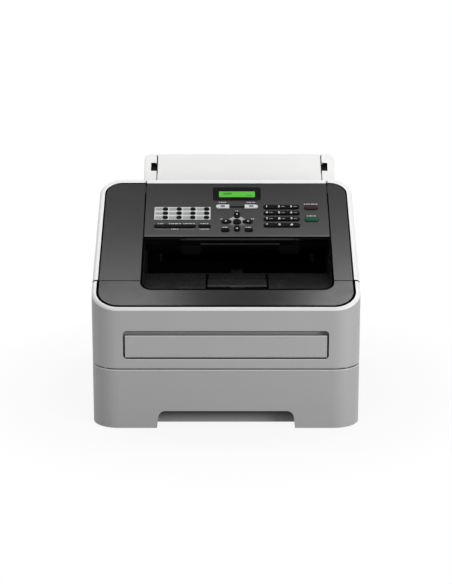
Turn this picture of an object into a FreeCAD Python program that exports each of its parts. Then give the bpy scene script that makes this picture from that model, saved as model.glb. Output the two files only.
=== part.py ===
import FreeCAD
import Part
import math
import os

# Compact laser fax machine, millimetres. Origin at the middle of the footprint on the ground,
# X to the right as seen from the front, Y to the back, Z up.

# Overall body
body_width = 368.0
body_depth = 360.0
front_height = 173.0
deck_angle = 22.2
upper_depth = 285.0
rear_deck_height = 190.0
corner_front = 37.0
corner_back = 33.0
wall = 2.5
side_base = 4.0
ground_gap = 1.0

# Light rim round the dark top, and the groove between them
rim_side = 8.3
rim_front = 3.9
rim_back = 12.0
rim_round = 4.0
top_corner_front = 30.0
top_corner_back = 25.0
groove_width = 0.9
groove_depth = 1.4

# Seams between the covers
seam_setback = 56.0
seam_gap = 1.4
cover_gap = 0.6
tray_seam_height = 85.0
tray_seam_gap = 1.2
cover_edge_round = 2.0
tray_edge_round = 1.2

# Clearances: pins in their bores, pieces that slide or seat, and skins that pass each other
pin_gap = 0.08
seat_gap = 0.3
skin_gap = 0.2

# Output well
well_left = -118.0
well_right = 149.0
well_front_setback = 36.4
well_corner = 16.0
well_back_corner = 4.0
well_floor_height = 185.0
well_floor_end = 135.0
well_bottom_height = 152.0
well_bottom_start = 172.0
well_back = 188.0
exit_slot_rise = 2.0
exit_slot_height = 13.0
sheet_width = 222.0

# Output flap in the floor of the well, and the finger pocket ahead of it
flap_width = 83.0
flap_lip = 67.6
flap_axis_setback = 103.6
flap_thickness = 2.6
flap_edge_round = 1.0
flap_axis_drop = 2.4
flap_barrel_radius = 1.9
flap_pin_radius = 1.4
flap_pin_length = 5.5
flap_gap = 1.2
flap_tab_half_width = 10.0
flap_tab_reach = 5.0
flap_tab_drop = 0.6
flap_tab_thickness = 1.8
pocket_length = 18.0
pocket_depth = 6.0
pocket_wall = 2.0
flap_tail_setback = 130.0
flap_groove_depth = 0.8
floor_tab_half_width = 8.5
floor_tab_reach = 20.0

# Control panel, measured along the sloping top (s) and square to it (n)
panel_gap = 1.9
seal_gap = 0.5            # light seals in the rear of the panel's side seams
seal_length = 26.0
seal_drop = 2.9
panel_front = 162.4
panel_plate = 2.5
panel_skirt = 2.0
panel_lip = 4.5
panel_lip_length = 7.0
panel_lip_slope = 3.0
panel_depth = 14.0
panel_tail_length = 19.2
panel_tail_slope = 4.0
panel_tail_depth = 9.0
panel_axis_inset = 13.8
panel_axis_drop = 6.0
panel_pin_radius = 2.0
panel_pin_root = 6.0
panel_edge_round = 0.8
panel_base_plate = 2.5
panel_post_radius = 2.5
panel_post_inset = 7.0
panel_post_front = 42.0
panel_post_back = 16.0

# Document chute under the panel
chute_gap = 3.0
chute_plate = 2.5
chute_lead = 4.4
chute_back_gap = 0.5
chute_lip = 5.5
chute_lip_length = 2.5
chute_lip_round = 1.0
chute_ramp = 11.0
chute_ear_width = 28.0
chute_ear_reach = 70.0
chute_ear_shift = 4.4
chute_ear_drop = 8.5
chute_ear_depth = 4.0
chute_ear_round = 5.0
glass_length = 8.0
glass_drop = 1.0

# Scan roller
roller_setback = 84.6
roller_radius = 5.2
roller_shaft_radius = 1.5
roller_length = 214.0
roller_floor_gap = 0.35
roller_slot_gap = 1.2
roller_end_gap = 2.0

# Keys: rise over the panel, gap round the cap and the hidden flange that keeps the key in
key_rise = 1.6
key_gap = 0.3
key_flange = 1.1
key_flange_inset = 0.8
key_flange_height = 1.6
key_flange_drop = 0.5
key_round = 0.6
round_end = 0.48
square_end = 0.06

# Display
display_width = 69.2
display_length = 33.0
display_setback = 105.0
display_corner = 3.5
display_rise = 0.5
display_edge_round = 0.4
display_gap = 0.15
display_ledge = 1.6
display_ledge_height = 1.5

# Front cover hinge
front_axis_rise = 10.0
front_pin_radius = 1.6
front_ear_step = 2.0
front_ear_width = 3.0
front_ear_low = 4.0
front_ear_high = 12.0
front_ear_back = 3.2
front_ear_gap = 0.5
front_arm_width = 4.0
front_arm_radius = 3.1
front_arm_gap = 0.4
front_arm_half_height = 2.4

# Manual feed flap in the front cover, and the shallow tub behind it
manual_half_width = 140.0
manual_rise = 14.4
manual_height = 39.8
manual_corner = 5.0
manual_depth = 11.0
manual_tub_wall = 2.0
manual_tub_side = 3.5
manual_gap = 1.4
manual_cover_height = 31.6
manual_cover_plate = 3.0
manual_edge_round = 0.8
manual_barrel = 2.5
manual_barrel_inset = 1.5
manual_pin_radius = 1.5
manual_pin_length = 3.0
manual_slot_rise = 4.0
manual_slot_height = 14.0

# Paper tray
tray_clearance = 0.5
tray_back_gap = 30.0
tray_floor_height = 5.8
tray_wall_height = 52.0
tray_wall = 2.5
tray_web = 3.0
tray_web_reach = 35.0
tray_web_height = 75.6
handle_half_width = 95.0
handle_height = 25.6
handle_corner = 10.0
handle_taper = 3.0
handle_depth = 28.0
handle_side_wall = 4.0
handle_top_wall = 2.5

# Lift plate
lift_sheet_thickness = 1.5
lift_side_gap = 1.0
lift_rise = 2.0
lift_pin_radius = 2.0
lift_lug_inset = 7.5
lift_lug_width = 3.0
lift_lug_reach = 4.0
lift_length = 172.0
lift_front_gap = 4.0
lift_corner = 6.0
guide_slot_inset = 35.0
guide_slot_width = 12.0
guide_slot_front = 40.0
guide_slot_back = 20.0

# Chassis
frame_plate = 3.5
frame_side_gap = 1.0
frame_front_setback = 62.0
ledge_width = 9.0
ledge_thickness = 2.8
deck_plate = 3.0
deck_gap = 1.5
deck_front_setback = 20.0
deck_corner_reach = 15.0
skid_height = 3.0
skid_gap = 1.5
flange_thickness = 3.0
flange_reach = 12.0
flange_lap = 4.0

# Fuser roller
fuser_radius = 12.0
fuser_shaft_radius = 4.0
fuser_back_setback = 55.0
fuser_rise = 33.5
fuser_end_gap = 8.0

# Toner cartridge
toner_front_setback = 62.0
toner_length = 128.0
toner_height = 52.0
toner_end_gap = 0.5
toner_nose = 14.0
toner_shoulder = 60.0
toner_back_slope = 34.0
toner_back_height = 24.0
drum_radius = 15.0
drum_end_gap = 14.0
drum_overhang = 11.0
toner_grip_half_width = 45.0
toner_grip_reach = 8.0
toner_grip_rise = 18.0
toner_grip_height = 8.0

# Rear cover
rear_half_width = 110.0
rear_rise = 9.5
rear_top_drop = 14.0
rear_corner = 4.0
rear_gap = 1.2
rear_lap = 2.0
rear_lap_plate = 3.0
rear_seat_gap = 0.4
rear_plate = 3.0
rear_edge_round = 0.8
rear_barrel = 2.5
rear_pin_radius = 1.5
rear_pin_length = 3.0
rear_lug_width = 5.0
rear_lug_half_height = 4.0

# Document rest, measured along its own slope
rest_left_reach = 4.0
rest_right_reach = 12.6
rest_angle = 33.0
rest_length = 75.6
rest_step = 0.35
rest_start = 3.0
rest_depth = 7.5
rest_corner = 10.0
rest_edge_round = 1.5
rest_side_width = 19.7
rest_flange_inset = 4.0
rest_flange_thickness = 3.0
rest_flange_top = 12.0
rest_window_width = 9.0
rest_window_start = 40.0
rest_window_length = 17.0
gusset_inset = 12.0
gusset_width = 4.0
gusset_drop = 46.0
gusset_share = 0.75

# Sliding support plate in the rest
support_plate = 3.0
support_gap = 0.9
support_start = 3.0
support_corner = 3.0
support_edge_round = 0.6
tongue_width = 3.0
tongue_height = 1.6
tongue_roof = 1.0
tongue_end_gap = 4.0

# Feet and screws
foot_radius = 9.0
foot_inset = 18.0
foot_front_setback = 74.0
foot_back_setback = 62.0
foot_edge_round = 0.8
screw_head_radius = 3.4
screw_head_height = 1.7
screw_radius = 1.5
screw_length = 5.0
screw_inset = 5.5
screw_low_height = 30.0
screw_high_drop = 25.0
cross_half_length = 2.0
cross_half_width = 0.4
cross_depth = 1.0

# Vents in the sides and sockets in the back
vent_count = 12
vent_pitch = 8.0
vent_width = 3.0
vent_length = 42.0
vent_height = 112.0
vent_setback = 150.0
socket_depth = 14.0
socket_wall = 2.0
socket_height = 42.0
power_inset = 26.6
power_half_width = 15.0
power_half_height = 11.0
line_inset = 31.6
handset_inset = 13.6
phone_half_width = 7.5
phone_half_height = 7.0

# Reach of half spaces, and how far a cutting tool runs past the face that it opens
big = 1000.0
over = 5.0

# Derived places
half_width = body_width / 2
y_front = -body_depth / 2
y_back = body_depth / 2
y_upper = y_front + upper_depth
y_seam = y_front + seam_setback
deck_rad = math.radians(deck_angle)
paper_centre = (well_left + well_right) / 2
panel_centre = paper_centre + 0.3
left_edge = well_left - cover_gap
right_edge = well_right + cover_gap
wall_left = well_left - wall
wall_right = well_right + wall
frame_left = wall_left - frame_side_gap
frame_right = wall_right + frame_side_gap
sheet_left = paper_centre - sheet_width / 2
sheet_right = paper_centre + sheet_width / 2
cover_bottom = tray_seam_height + tray_seam_gap
deck_low = tray_seam_height + deck_gap

VX = FreeCAD.Vector(1, 0, 0)
VZ = FreeCAD.Vector(0, 0, 1)


def vec(x, y, z):
    return FreeCAD.Vector(x, y, z)


def box(x0, x1, y0, y1, z0, z1):
    return Part.makeBox(x1 - x0, y1 - y0, z1 - z0, vec(x0, y0, z0))


def rod(x0, x1, y, z, radius):
    return Part.makeCylinder(radius, x1 - x0, vec(x0, y, z), VX)


def round_outline(x0, x1, y0, y1, radii):
    # Rectangle with its own radius at each corner: front left, front right, back right, back left
    corners = [vec(x0, y0, 0), vec(x1, y0, 0), vec(x1, y1, 0), vec(x0, y1, 0)]
    along = [vec(1, 0, 0), vec(0, 1, 0), vec(-1, 0, 0), vec(0, -1, 0)]
    edges = []
    starts = []
    ends = []
    for i in range(4):
        before = along[i - 1]
        after = along[i]
        starts.append(corners[i] - before * radii[i])
        ends.append(corners[i] + after * radii[i])
    for i in range(4):
        edges.append(Part.LineSegment(ends[i - 1], starts[i]).toShape())
        if radii[i] > 0:
            inward = along[i] - along[i - 1]
            middle = corners[i] + inward * (radii[i] * (1 - math.sqrt(0.5)))
            edges.append(Part.Arc(starts[i], middle, ends[i]).toShape())
    return Part.Wire(edges)


def round_prism(x0, x1, y0, y1, radii, z0, z1):
    face = Part.Face(round_outline(x0, x1, y0, y1, radii))
    face.translate(vec(0, 0, z0))
    return face.extrude(vec(0, 0, z1 - z0))


def side_prism(points, x0, x1):
    # A side outline of (y, z) points carried along X
    corners = [vec(x0, y, z) for y, z in points]
    face = Part.Face(Part.makePolygon(corners + corners[:1]))
    return face.extrude(vec(x1 - x0, 0, 0))


def tilted(shape, y, z, angle):
    # Carries a shape drawn flat onto a plane that rises to the back
    spin = FreeCAD.Rotation(VX, angle)
    moved = shape.copy()
    moved.Placement = FreeCAD.Placement(vec(0, y, z), spin).multiply(moved.Placement)
    return moved


def on_deck(shape):
    return tilted(shape, y_front, front_height, deck_angle)


def deck_height(y, n=0.0):
    return front_height + (y - y_front) * math.tan(deck_rad) + n / math.cos(deck_rad)


def under_deck(n, z0):
    # All the space below the sloping top, lowered by n
    y0 = y_front - big
    y1 = y_back + big
    points = [(y0, z0), (y1, z0), (y1, deck_height(y1, n)), (y0, deck_height(y0, n))]
    return side_prism(points, -big, big)


def fuse_all(shapes):
    return shapes[0].multiFuse(shapes[1:]).removeSplitter()


def flat_edges(shape, distance):
    # Edges whose ends and middle all lie where the distance function is nil
    found = []
    for edge in shape.Edges:
        middle = edge.valueAt((edge.FirstParameter + edge.LastParameter) / 2)
        points = [vertex.Point for vertex in edge.Vertexes] + [middle]
        if all(abs(distance(point)) < 0.01 for point in points):
            found.append(edge)
    return found


def save(name, shape):
    solids = shape.Solids
    out = solids[0] if len(solids) == 1 else Part.makeCompound(solids)
    out.exportStep("parts/" + name + ".step")


os.makedirs("parts", exist_ok=True)


# Outer envelope of the body and its hollow
def envelope(inset, z0):
    radii = [corner_front - inset] * 2 + [corner_back - inset] * 2
    x1 = half_width - inset
    y0 = y_front + inset
    upper = round_prism(-x1, x1, y0, y_upper - inset, radii, z0, big)
    lower = round_prism(-x1, x1, y0, y_back - inset, radii, z0, rear_deck_height - inset)
    return upper.fuse(lower).common(under_deck(-inset, z0 - over))


def rounded_envelope(z0):
    solid = envelope(0.0, z0)
    edges = flat_edges(solid, lambda p: p.z - deck_height(p.y))
    return solid.makeFillet(rim_round, edges)


def inside_rim(inset):
    # The dark part of the top as seen from above, carried through the whole height
    x1 = half_width - rim_side - inset
    radii = [top_corner_front - inset] * 2 + [top_corner_back - inset] * 2
    return round_prism(-x1, x1, y_front + rim_front + inset, y_upper - rim_back - inset, radii, -big, big)


below_ground = -20.0
hollow = envelope(wall, below_ground)
inside_walls = envelope(wall + skin_gap, below_ground)
rim_inner = inside_rim(0.0)
top_inner = inside_rim(groove_width)
behind_seam = box(-big, big, y_seam + seam_gap / 2, big, -big, big)
ahead_of_seam = box(-big, big, -big, y_seam - seam_gap / 2, -big, big)

# Screws through the rear wall of each side cover, and their countersunk holes
screws = []
screw_holes = []
to_front = vec(0, -1, 0)
for x in (left_edge - screw_inset, right_edge + screw_inset):
    for z in (screw_low_height, rear_deck_height - screw_high_drop):
        face = vec(x, y_back, z)
        outside = vec(x, y_back + over, z)
        shank = Part.makeCylinder(screw_radius, screw_length + wall, face, to_front)
        head = Part.makeCylinder(screw_head_radius, screw_head_height, face, to_front)
        long_cut = box(x - cross_half_length, x + cross_half_length, y_back - cross_depth, y_back + over,
                       z - cross_half_width, z + cross_half_width)
        tall_cut = box(x - cross_half_width, x + cross_half_width, y_back - cross_depth, y_back + over,
                       z - cross_half_length, z + cross_half_length)
        screws.append(head.fuse(shank).cut([long_cut, tall_cut]))
        bore_length = over + wall + screw_length + flange_thickness
        screw_holes.append(Part.makeCylinder(screw_radius + pin_gap, bore_length, outside, to_front))
        screw_holes.append(Part.makeCylinder(screw_head_radius + seat_gap, screw_head_height + over,
                                             outside, to_front))

# Side covers: outer walls, the light rim, the rear corners and the vents
vents = []
for i in range(vent_count):
    y = y_front + vent_setback + i * vent_pitch
    vents.append(box(-big, big, y, y + vent_width, vent_height, vent_height + vent_length))
side_shell = rounded_envelope(side_base).cut(hollow).common(behind_seam).cut(rim_inner)
left_side_cover = side_shell.common(box(-big, left_edge, -big, big, -big, big)).cut(vents + screw_holes)
right_side_cover = side_shell.common(box(right_edge, big, -big, big, -big, big)).cut(vents + screw_holes)

# Levels of the document chute below the panel
panel_left = well_left + panel_gap
panel_right = well_right - panel_gap
panel_end = upper_depth / math.cos(deck_rad)
panel_axis_s = panel_end - panel_axis_inset
chute_top = -(panel_depth + chute_gap)
chute_under = chute_top - chute_plate
chute_front = panel_front - chute_lead
chute_end = (upper_depth - chute_back_gap + chute_under * math.sin(deck_rad)) / math.cos(deck_rad)
roller_s = panel_front + roller_setback
roller_axis_n = chute_top + roller_floor_gap + roller_radius

# Top cover: dark strips at the sides and the lower document chute between them
strip_skin = envelope(0.0, below_ground).cut(hollow).common(top_inner).common(behind_seam)
strip_skin = strip_skin.cut(under_deck(-wall, -2 * big))
strips = strip_skin.cut(box(well_left, well_right, -big, big, -big, big))
rear_wall_room = box(-big, big, y_upper - wall - seat_gap, big, -big, big)
rim_room = box(-big, big, y_upper - rim_back - groove_width, big, -big, big)
rim_room = rim_room.cut(under_deck(-wall - seat_gap, -2 * big))
chute_parts = [strips]
for x0, x1 in ((wall_left, well_left), (well_right, wall_right)):
    chute_wall = on_deck(box(x0, x1, chute_front, chute_end, chute_under, -skin_gap))
    chute_parts.append(chute_wall.cut([rear_wall_room, rim_room]))
    # Light seal in the seam beside the rear end of the panel
    inward = panel_gap - seal_gap
    seal_x = well_left if x0 == wall_left else well_right - inward
    seal = on_deck(box(seal_x, seal_x + inward, chute_end - seal_length, panel_end,
                       chute_under, -seal_drop))
    chute_parts.append(seal.cut(rear_wall_room))
chute_parts.append(on_deck(box(well_left, well_right, chute_front, chute_end, chute_under, chute_top)))
lip_top = chute_top + chute_lip
lip_back = chute_front + chute_lip_length
lip_ramp = side_prism([(chute_front, chute_under), (lip_back + chute_ramp, chute_under),
                       (lip_back + chute_ramp, chute_top), (lip_back, lip_top), (chute_front, lip_top)],
                      well_left, well_right)
lip_edge = flat_edges(lip_ramp, lambda p: abs(p.y - chute_front) + abs(p.z - lip_top))
chute_parts.append(on_deck(lip_ramp.makeFillet(chute_lip_round, lip_edge)))
for side in (-1, 1):
    x0 = paper_centre + chute_ear_shift + side * chute_ear_reach - chute_ear_width / 2
    ear = round_prism(x0, x0 + chute_ear_width, chute_under - chute_ear_drop, lip_top - chute_lip_round,
                      [chute_ear_round] * 2 + [0.0] * 2, -chute_ear_depth, 0)
    chute_parts.append(on_deck(tilted(ear, chute_front, 0, 90)))
top_cover = fuse_all(chute_parts)
panel_bores = [on_deck(rod(wall_left - over, panel_left, panel_axis_s, -panel_axis_drop,
                           panel_pin_radius + pin_gap)),
               on_deck(rod(panel_right, wall_right + over, panel_axis_s, -panel_axis_drop,
                           panel_pin_radius + pin_gap))]
glass_slot = on_deck(box(sheet_left, sheet_right, roller_s - glass_length / 2, roller_s + glass_length / 2,
                         chute_top - glass_drop, chute_top + over))
top_cover = top_cover.cut(panel_bores + [glass_slot])

# Output well: outer block, sloping floor, pocket for the flap and the paper exit
well_x0 = well_left + cover_gap
well_x1 = well_right - cover_gap
well_y0 = y_front + well_front_setback + cover_gap
well_y1 = y_front + well_back + wall
outer_corner = well_corner - cover_gap


def floor_zone(drop):
    # The space above the floor of the well, lowered by the drop
    high = well_floor_height - drop
    low = well_bottom_height - drop
    y_high = y_front + well_floor_end - drop / 2
    y_low = y_front + well_bottom_start - drop / 2
    return side_prism([(-big, high), (y_high, high), (y_low, low), (big, low), (big, big), (-big, big)],
                      -big, big)


well_outer = round_prism(well_x0, well_x1, well_y0, well_y1, [outer_corner] * 2 + [0.0] * 2, 0, big)
well_inner = round_prism(well_x0 + wall, well_x1 - wall, well_y0 + wall, well_y1 - wall,
                         [outer_corner - wall] * 2 + [well_back_corner] * 2, 0, big)
well_solid = well_outer.common(floor_zone(wall)).common(under_deck(-skin_gap, -big))
well_solid = well_solid.cut(well_inner.common(floor_zone(0.0)))
chute_room = on_deck(box(-big, big, chute_front - seat_gap, big, chute_under - seat_gap, big))
well_solid = well_solid.cut(chute_room)
flap_left = paper_centre - flap_width / 2
flap_right = paper_centre + flap_width / 2
flap_y0 = y_front + flap_lip
flap_axis_y = y_front + flap_axis_setback
flap_axis_z = well_floor_height - flap_axis_drop
pocket_x0 = flap_left - flap_gap
pocket_x1 = flap_right + flap_gap
pocket_y0 = flap_y0 - pocket_length
pocket_y1 = flap_axis_y + flap_axis_drop + flap_gap
pocket_end = flap_pin_length + pocket_wall
pocket_tub = box(flap_left - pocket_end, flap_right + pocket_end, pocket_y0 - pocket_wall,
                 pocket_y1 + pocket_wall,
                 well_floor_height - pocket_depth - pocket_wall, well_floor_height - wall / 2)
flap_room = box(pocket_x0, pocket_x1, flap_y0 - flap_gap, pocket_y1,
                flap_axis_z - flap_barrel_radius - seat_gap, well_floor_height + over)
finger_room = box(pocket_x0, pocket_x1, pocket_y0, flap_y0 + flap_tab_reach,
                  well_floor_height - pocket_depth, well_floor_height + over)
flap_bore = rod(flap_left - flap_pin_length - seat_gap, flap_right + flap_pin_length + seat_gap,
                flap_axis_y, flap_axis_z, flap_pin_radius + pin_gap)
exit_slot = box(sheet_left, sheet_right, well_y1 - wall - over, well_y1 + over,
                well_floor_height + exit_slot_rise, well_floor_height + exit_slot_rise + exit_slot_height)
floor_tab = box(paper_centre - floor_tab_half_width, paper_centre + floor_tab_half_width,
                y_front + well_floor_end - wall, y_front + well_floor_end + floor_tab_reach,
                well_floor_height - wall, well_floor_height)
flap_grooves = []
pin_slots = []
for x0, x1, side_x0, side_x1 in (
        (flap_left - flap_pin_length - seat_gap, flap_left, pocket_x0, flap_left),
        (flap_right, flap_right + flap_pin_length + seat_gap, flap_right, pocket_x1)):
    flap_grooves.append(box(side_x0, side_x1, pocket_y1 - over, y_front + flap_tail_setback,
                            well_floor_height - flap_groove_depth, well_floor_height + over))
    pin_slots.append(box(x0, x1, flap_axis_y - flap_pin_radius - pin_gap,
                         flap_axis_y + flap_pin_radius + pin_gap, flap_axis_z, well_floor_height + over))
output_tray = fuse_all([well_solid, pocket_tub, floor_tab])
output_tray = output_tray.cut([flap_room, finger_room, flap_bore, exit_slot] + flap_grooves + pin_slots)

# Output flap with its pins and finger tab
flap_plate = box(flap_left, flap_right, flap_y0, flap_axis_y, well_floor_height - flap_thickness,
                 well_floor_height)
lip_edges = flat_edges(flap_plate, lambda p: abs(p.y - flap_y0) + abs(p.z - well_floor_height))
flap_plate = flap_plate.makeFillet(flap_edge_round, lip_edges)
flap_tab_top = well_floor_height - flap_tab_drop
output_flap = fuse_all([
    flap_plate,
    rod(flap_left, flap_right, flap_axis_y, flap_axis_z, flap_barrel_radius),
    rod(flap_left - flap_pin_length, flap_right + flap_pin_length, flap_axis_y, flap_axis_z,
        flap_pin_radius),
    box(panel_centre - flap_tab_half_width, panel_centre + flap_tab_half_width, flap_y0 - flap_tab_reach,
        flap_y0 + flap_tab_reach, flap_tab_top - flap_tab_thickness, flap_tab_top)])

# Key layout: name, middle across and up from the panel's front edge, width, height and the two end radii
keys = []


def add_key(name, across, up, width, height, left=round_end, right=round_end):
    least = min(width, height)
    keys.append((name, panel_centre + across, panel_front + up, width, height, least * left, least * right))


for row in range(3):
    for column in range(4):
        add_key("one_touch_key_%d" % (row * 4 + column + 1), -103.2 + 19.8 * column, 66.4 - 10.25 * row,
                7.8, 6.4)
add_key("hook_key", -108.8, 24.8, 19.4, 7.0, round_end, square_end)
add_key("redial_key", -88.6, 24.8, 20.0, 7.0, square_end, square_end)
add_key("resolution_key", -68.4, 24.8, 19.4, 7.0, square_end, round_end)
add_key("report_key", -46.4, 24.8, 18.0, 7.0)
add_key("fax_mode_key", -20.7, 72.3, 19.2, 8.2, round_end, square_end)
add_key("copy_mode_key", 20.7, 72.3, 19.2, 8.2, square_end, round_end)
add_key("up_key", 0.0, 52.0, 8.6, 15.0)
add_key("ok_key", 0.0, 35.2, 11.4, 12.0)
add_key("down_key", 0.0, 19.2, 8.4, 13.0)
add_key("left_key", -15.2, 35.6, 14.4, 8.0)
add_key("right_key", 15.2, 35.6, 14.4, 8.0)
add_key("clear_key", -16.7, 15.8, 12.2, 7.4)
add_key("menu_key", 16.7, 15.8, 12.2, 7.4)
dial_names = ["digit_%d" % digit for digit in range(1, 10)] + ["star", "digit_0", "hash"]
dial_ends = ((round_end, square_end), (square_end, square_end), (square_end, round_end))
for i, name in enumerate(dial_names):
    row, column = divmod(i, 3)
    left, right = dial_ends[column]
    add_key(name + "_key", 64.2 + 17.6 * (column - 1), 71.4 - 14.8 * row, 17.0, 8.8, left, right)
add_key("stop_key", 107.2, 70.4, 20.4, 10.0)
add_key("start_key", 107.2, 41.2, 20.4, 10.0)


def key_prism(key, grow, n0, n1):
    name, x, s, width, height, left, right = key
    half_w = width / 2 + grow
    half_h = height / 2 + grow
    radii = [left + grow, right + grow, right + grow, left + grow]
    return round_prism(x - half_w, x + half_w, s - half_h, s + half_h, radii, n0, n1)


# Keys with a rounded cap and a hidden retaining flange
for key in keys:
    name, x, s, width, height, left, right = key
    flange_top = -panel_plate - key_flange_drop
    flange_low = flange_top - key_flange_height
    cap = key_prism(key, 0.0, flange_low, key_rise)
    cap = cap.makeFillet(key_round, flat_edges(cap, lambda p: p.z - key_rise))
    flange_half_w = width / 2 - key_flange_inset
    flange_half_h = height / 2 + key_flange
    flange = box(x - flange_half_w, x + flange_half_w, s - flange_half_h, s + flange_half_h, flange_low,
                 flange_top)
    save(name, on_deck(cap.fuse(flange)))

# Display window with its hidden ledge
display_x0 = panel_centre - display_width / 2
display_x1 = panel_centre + display_width / 2
display_s0 = panel_front + display_setback - display_length / 2
display_s1 = display_s0 + display_length


def display_prism(grow, n0, n1):
    return round_prism(display_x0 - grow, display_x1 + grow, display_s0 - grow, display_s1 + grow,
                       [display_corner + grow] * 4, n0, n1)


ledge_low = -panel_plate - display_ledge_height
display_cap = display_prism(0.0, ledge_low, display_rise)
display_cap = display_cap.makeFillet(display_edge_round,
                                     flat_edges(display_cap, lambda p: p.z - display_rise))
display_window = on_deck(display_cap.fuse(display_prism(display_ledge, ledge_low, -panel_plate)))

# Control panel: hollow shell with the light rear rim; its back face is upright like the rear wall
tail_start = panel_end - panel_tail_length
tail_end = panel_end - panel_tail_depth * math.tan(deck_rad)
lip_end = panel_front + panel_lip_length
skirt_front = lip_end + panel_lip_slope
panel_block = side_prism([(panel_front, 0), (panel_front, -panel_lip), (lip_end, -panel_lip),
                          (skirt_front, -panel_depth), (tail_start, -panel_depth),
                          (tail_start + panel_tail_slope, -panel_tail_depth), (tail_end, -panel_tail_depth),
                          (panel_end, 0)], panel_left, panel_right)
back_edges = flat_edges(panel_block, lambda p: abs(p.y - panel_end) + abs(p.z))
panel_block = panel_block.makeFillet(rim_round, back_edges)
front_edges = flat_edges(panel_block, lambda p: abs(p.y - panel_front) + abs(p.z))
panel_block = panel_block.makeFillet(panel_edge_round, front_edges)
inner_back = tail_start - panel_skirt
inner_front = skirt_front + panel_skirt + skin_gap
panel_hollow = side_prism([(lip_end + panel_skirt - panel_lip_slope * skin_gap, -panel_plate),
                           (inner_front, -panel_depth), (inner_front, -panel_depth - over),
                           (inner_back, -panel_depth - over), (inner_back, -panel_plate)],
                          panel_left + panel_skirt, panel_right - panel_skirt)
groove_s = panel_end - rim_back / math.cos(deck_rad)
panel_groove = box(panel_left - over, panel_right + over, groove_s - groove_width, groove_s, -groove_depth,
                   over)
panel_cuts = [panel_hollow, panel_groove, display_prism(display_gap, -panel_plate - over, over),
              rod(-big, big, roller_s, roller_axis_n, roller_shaft_radius + pin_gap)]
for key in keys:
    panel_cuts.append(key_prism(key, key_gap, -panel_plate - over, over))
panel_pins = [rod(wall_left, panel_left + panel_pin_root, panel_axis_s, -panel_axis_drop, panel_pin_radius),
              rod(panel_right - panel_pin_root, wall_right, panel_axis_s, -panel_axis_drop,
                  panel_pin_radius)]
control_panel = on_deck(panel_block.cut(panel_cuts).multiFuse(panel_pins))

# Underside of the panel with its posts and the slot for the scan roller
base_top = -panel_depth + panel_base_plate
base_x0 = panel_left + panel_skirt + skin_gap
base_x1 = panel_right - panel_skirt - skin_gap
base_parts = [box(base_x0, base_x1, inner_front + skin_gap, inner_back - skin_gap, -panel_depth, base_top)]
for x in (panel_left + panel_post_inset, panel_right - panel_post_inset):
    for s in (panel_front + panel_post_front, tail_start - panel_post_back):
        base_parts.append(Part.makeCylinder(panel_post_radius, -panel_plate - base_top, vec(x, s, base_top),
                                            VZ))
roller_x0 = paper_centre - roller_length / 2
roller_x1 = paper_centre + roller_length / 2
slot_half = roller_radius + roller_slot_gap
roller_slot = box(roller_x0 - roller_end_gap, roller_x1 + roller_end_gap, roller_s - slot_half,
                  roller_s + slot_half, -panel_depth - over, over)
shaft_room = rod(-big, big, roller_s, roller_axis_n, roller_shaft_radius + seat_gap)
panel_base = on_deck(fuse_all(base_parts).cut([roller_slot, shaft_room]))

# Scan roller under the panel
roller_parts = [rod(roller_x0, roller_x1, roller_s, roller_axis_n, roller_radius),
                rod(panel_left + seat_gap, panel_right - seat_gap, roller_s, roller_axis_n,
                    roller_shaft_radius)]
scan_roller = on_deck(fuse_all(roller_parts))

# Front cover: rounded shell over the front of the body with the strip of the top
front_solid = rounded_envelope(cover_bottom)
front_solid = front_solid.makeFillet(cover_edge_round,
                                     flat_edges(front_solid, lambda p: p.z - cover_bottom))
groove_ring = rim_inner.cut(top_inner).cut(under_deck(-groove_depth, -2 * big))
well_mouth = round_prism(well_left, well_right, y_front + well_front_setback, big,
                         [well_corner] * 2 + [0.0] * 2, cover_bottom, big)
front_shell = front_solid.cut(hollow).common(ahead_of_seam).cut(groove_ring).cut(well_mouth)

# Tub behind the manual feed flap, the slot for the sheet and the bores of the flap
manual_bottom = cover_bottom + manual_rise
manual_top = manual_bottom + manual_height
manual_axis_y = y_front + manual_barrel
manual_axis_z = manual_bottom + manual_gap + manual_barrel
tub_outer = box(-manual_half_width - manual_tub_side, manual_half_width + manual_tub_side,
                y_front + wall / 2,
                y_front + manual_depth, manual_bottom - manual_tub_wall, manual_top + manual_tub_wall)
tub_depth = manual_depth - manual_tub_wall
tub_inner = round_prism(-manual_half_width, manual_half_width, manual_bottom, manual_top,
                        [manual_corner] * 4, -tub_depth, over)
feed_slot = box(sheet_left, sheet_right, y_front + tub_depth - over, y_front + manual_depth + over,
                manual_bottom + manual_slot_rise, manual_bottom + manual_slot_rise + manual_slot_height)
front_cuts = [tilted(tub_inner, y_front, 0, 90), feed_slot]
bore_end = manual_half_width + manual_pin_length + seat_gap
front_cuts.append(rod(-bore_end, bore_end, manual_axis_y, manual_axis_z, manual_pin_radius + pin_gap))

# Hinge ears and pins of the front cover
front_axis_y = y_front + wall + front_arm_gap + front_arm_radius
front_axis_z = cover_bottom + front_axis_rise
front_ear_x = manual_half_width + front_ear_step
arm_x = front_ear_x + front_ear_width + front_ear_gap
front_pins = []
front_parts = [front_shell, tub_outer]
for side in (-1, 1):
    ear_x0, ear_x1 = sorted((side * front_ear_x, side * (front_ear_x + front_ear_width)))
    pin_x0, pin_x1 = sorted((side * front_ear_x, side * (arm_x + front_arm_width - seat_gap)))
    front_parts.append(box(ear_x0, ear_x1, y_front + wall / 2, front_axis_y + front_ear_back,
                           front_axis_z - front_ear_low, front_axis_z + front_ear_high))
    front_pins.append(rod(pin_x0, pin_x1, front_axis_y, front_axis_z, front_pin_radius))
front_cover = fuse_all(front_parts).cut(front_cuts).multiFuse(front_pins)

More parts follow.
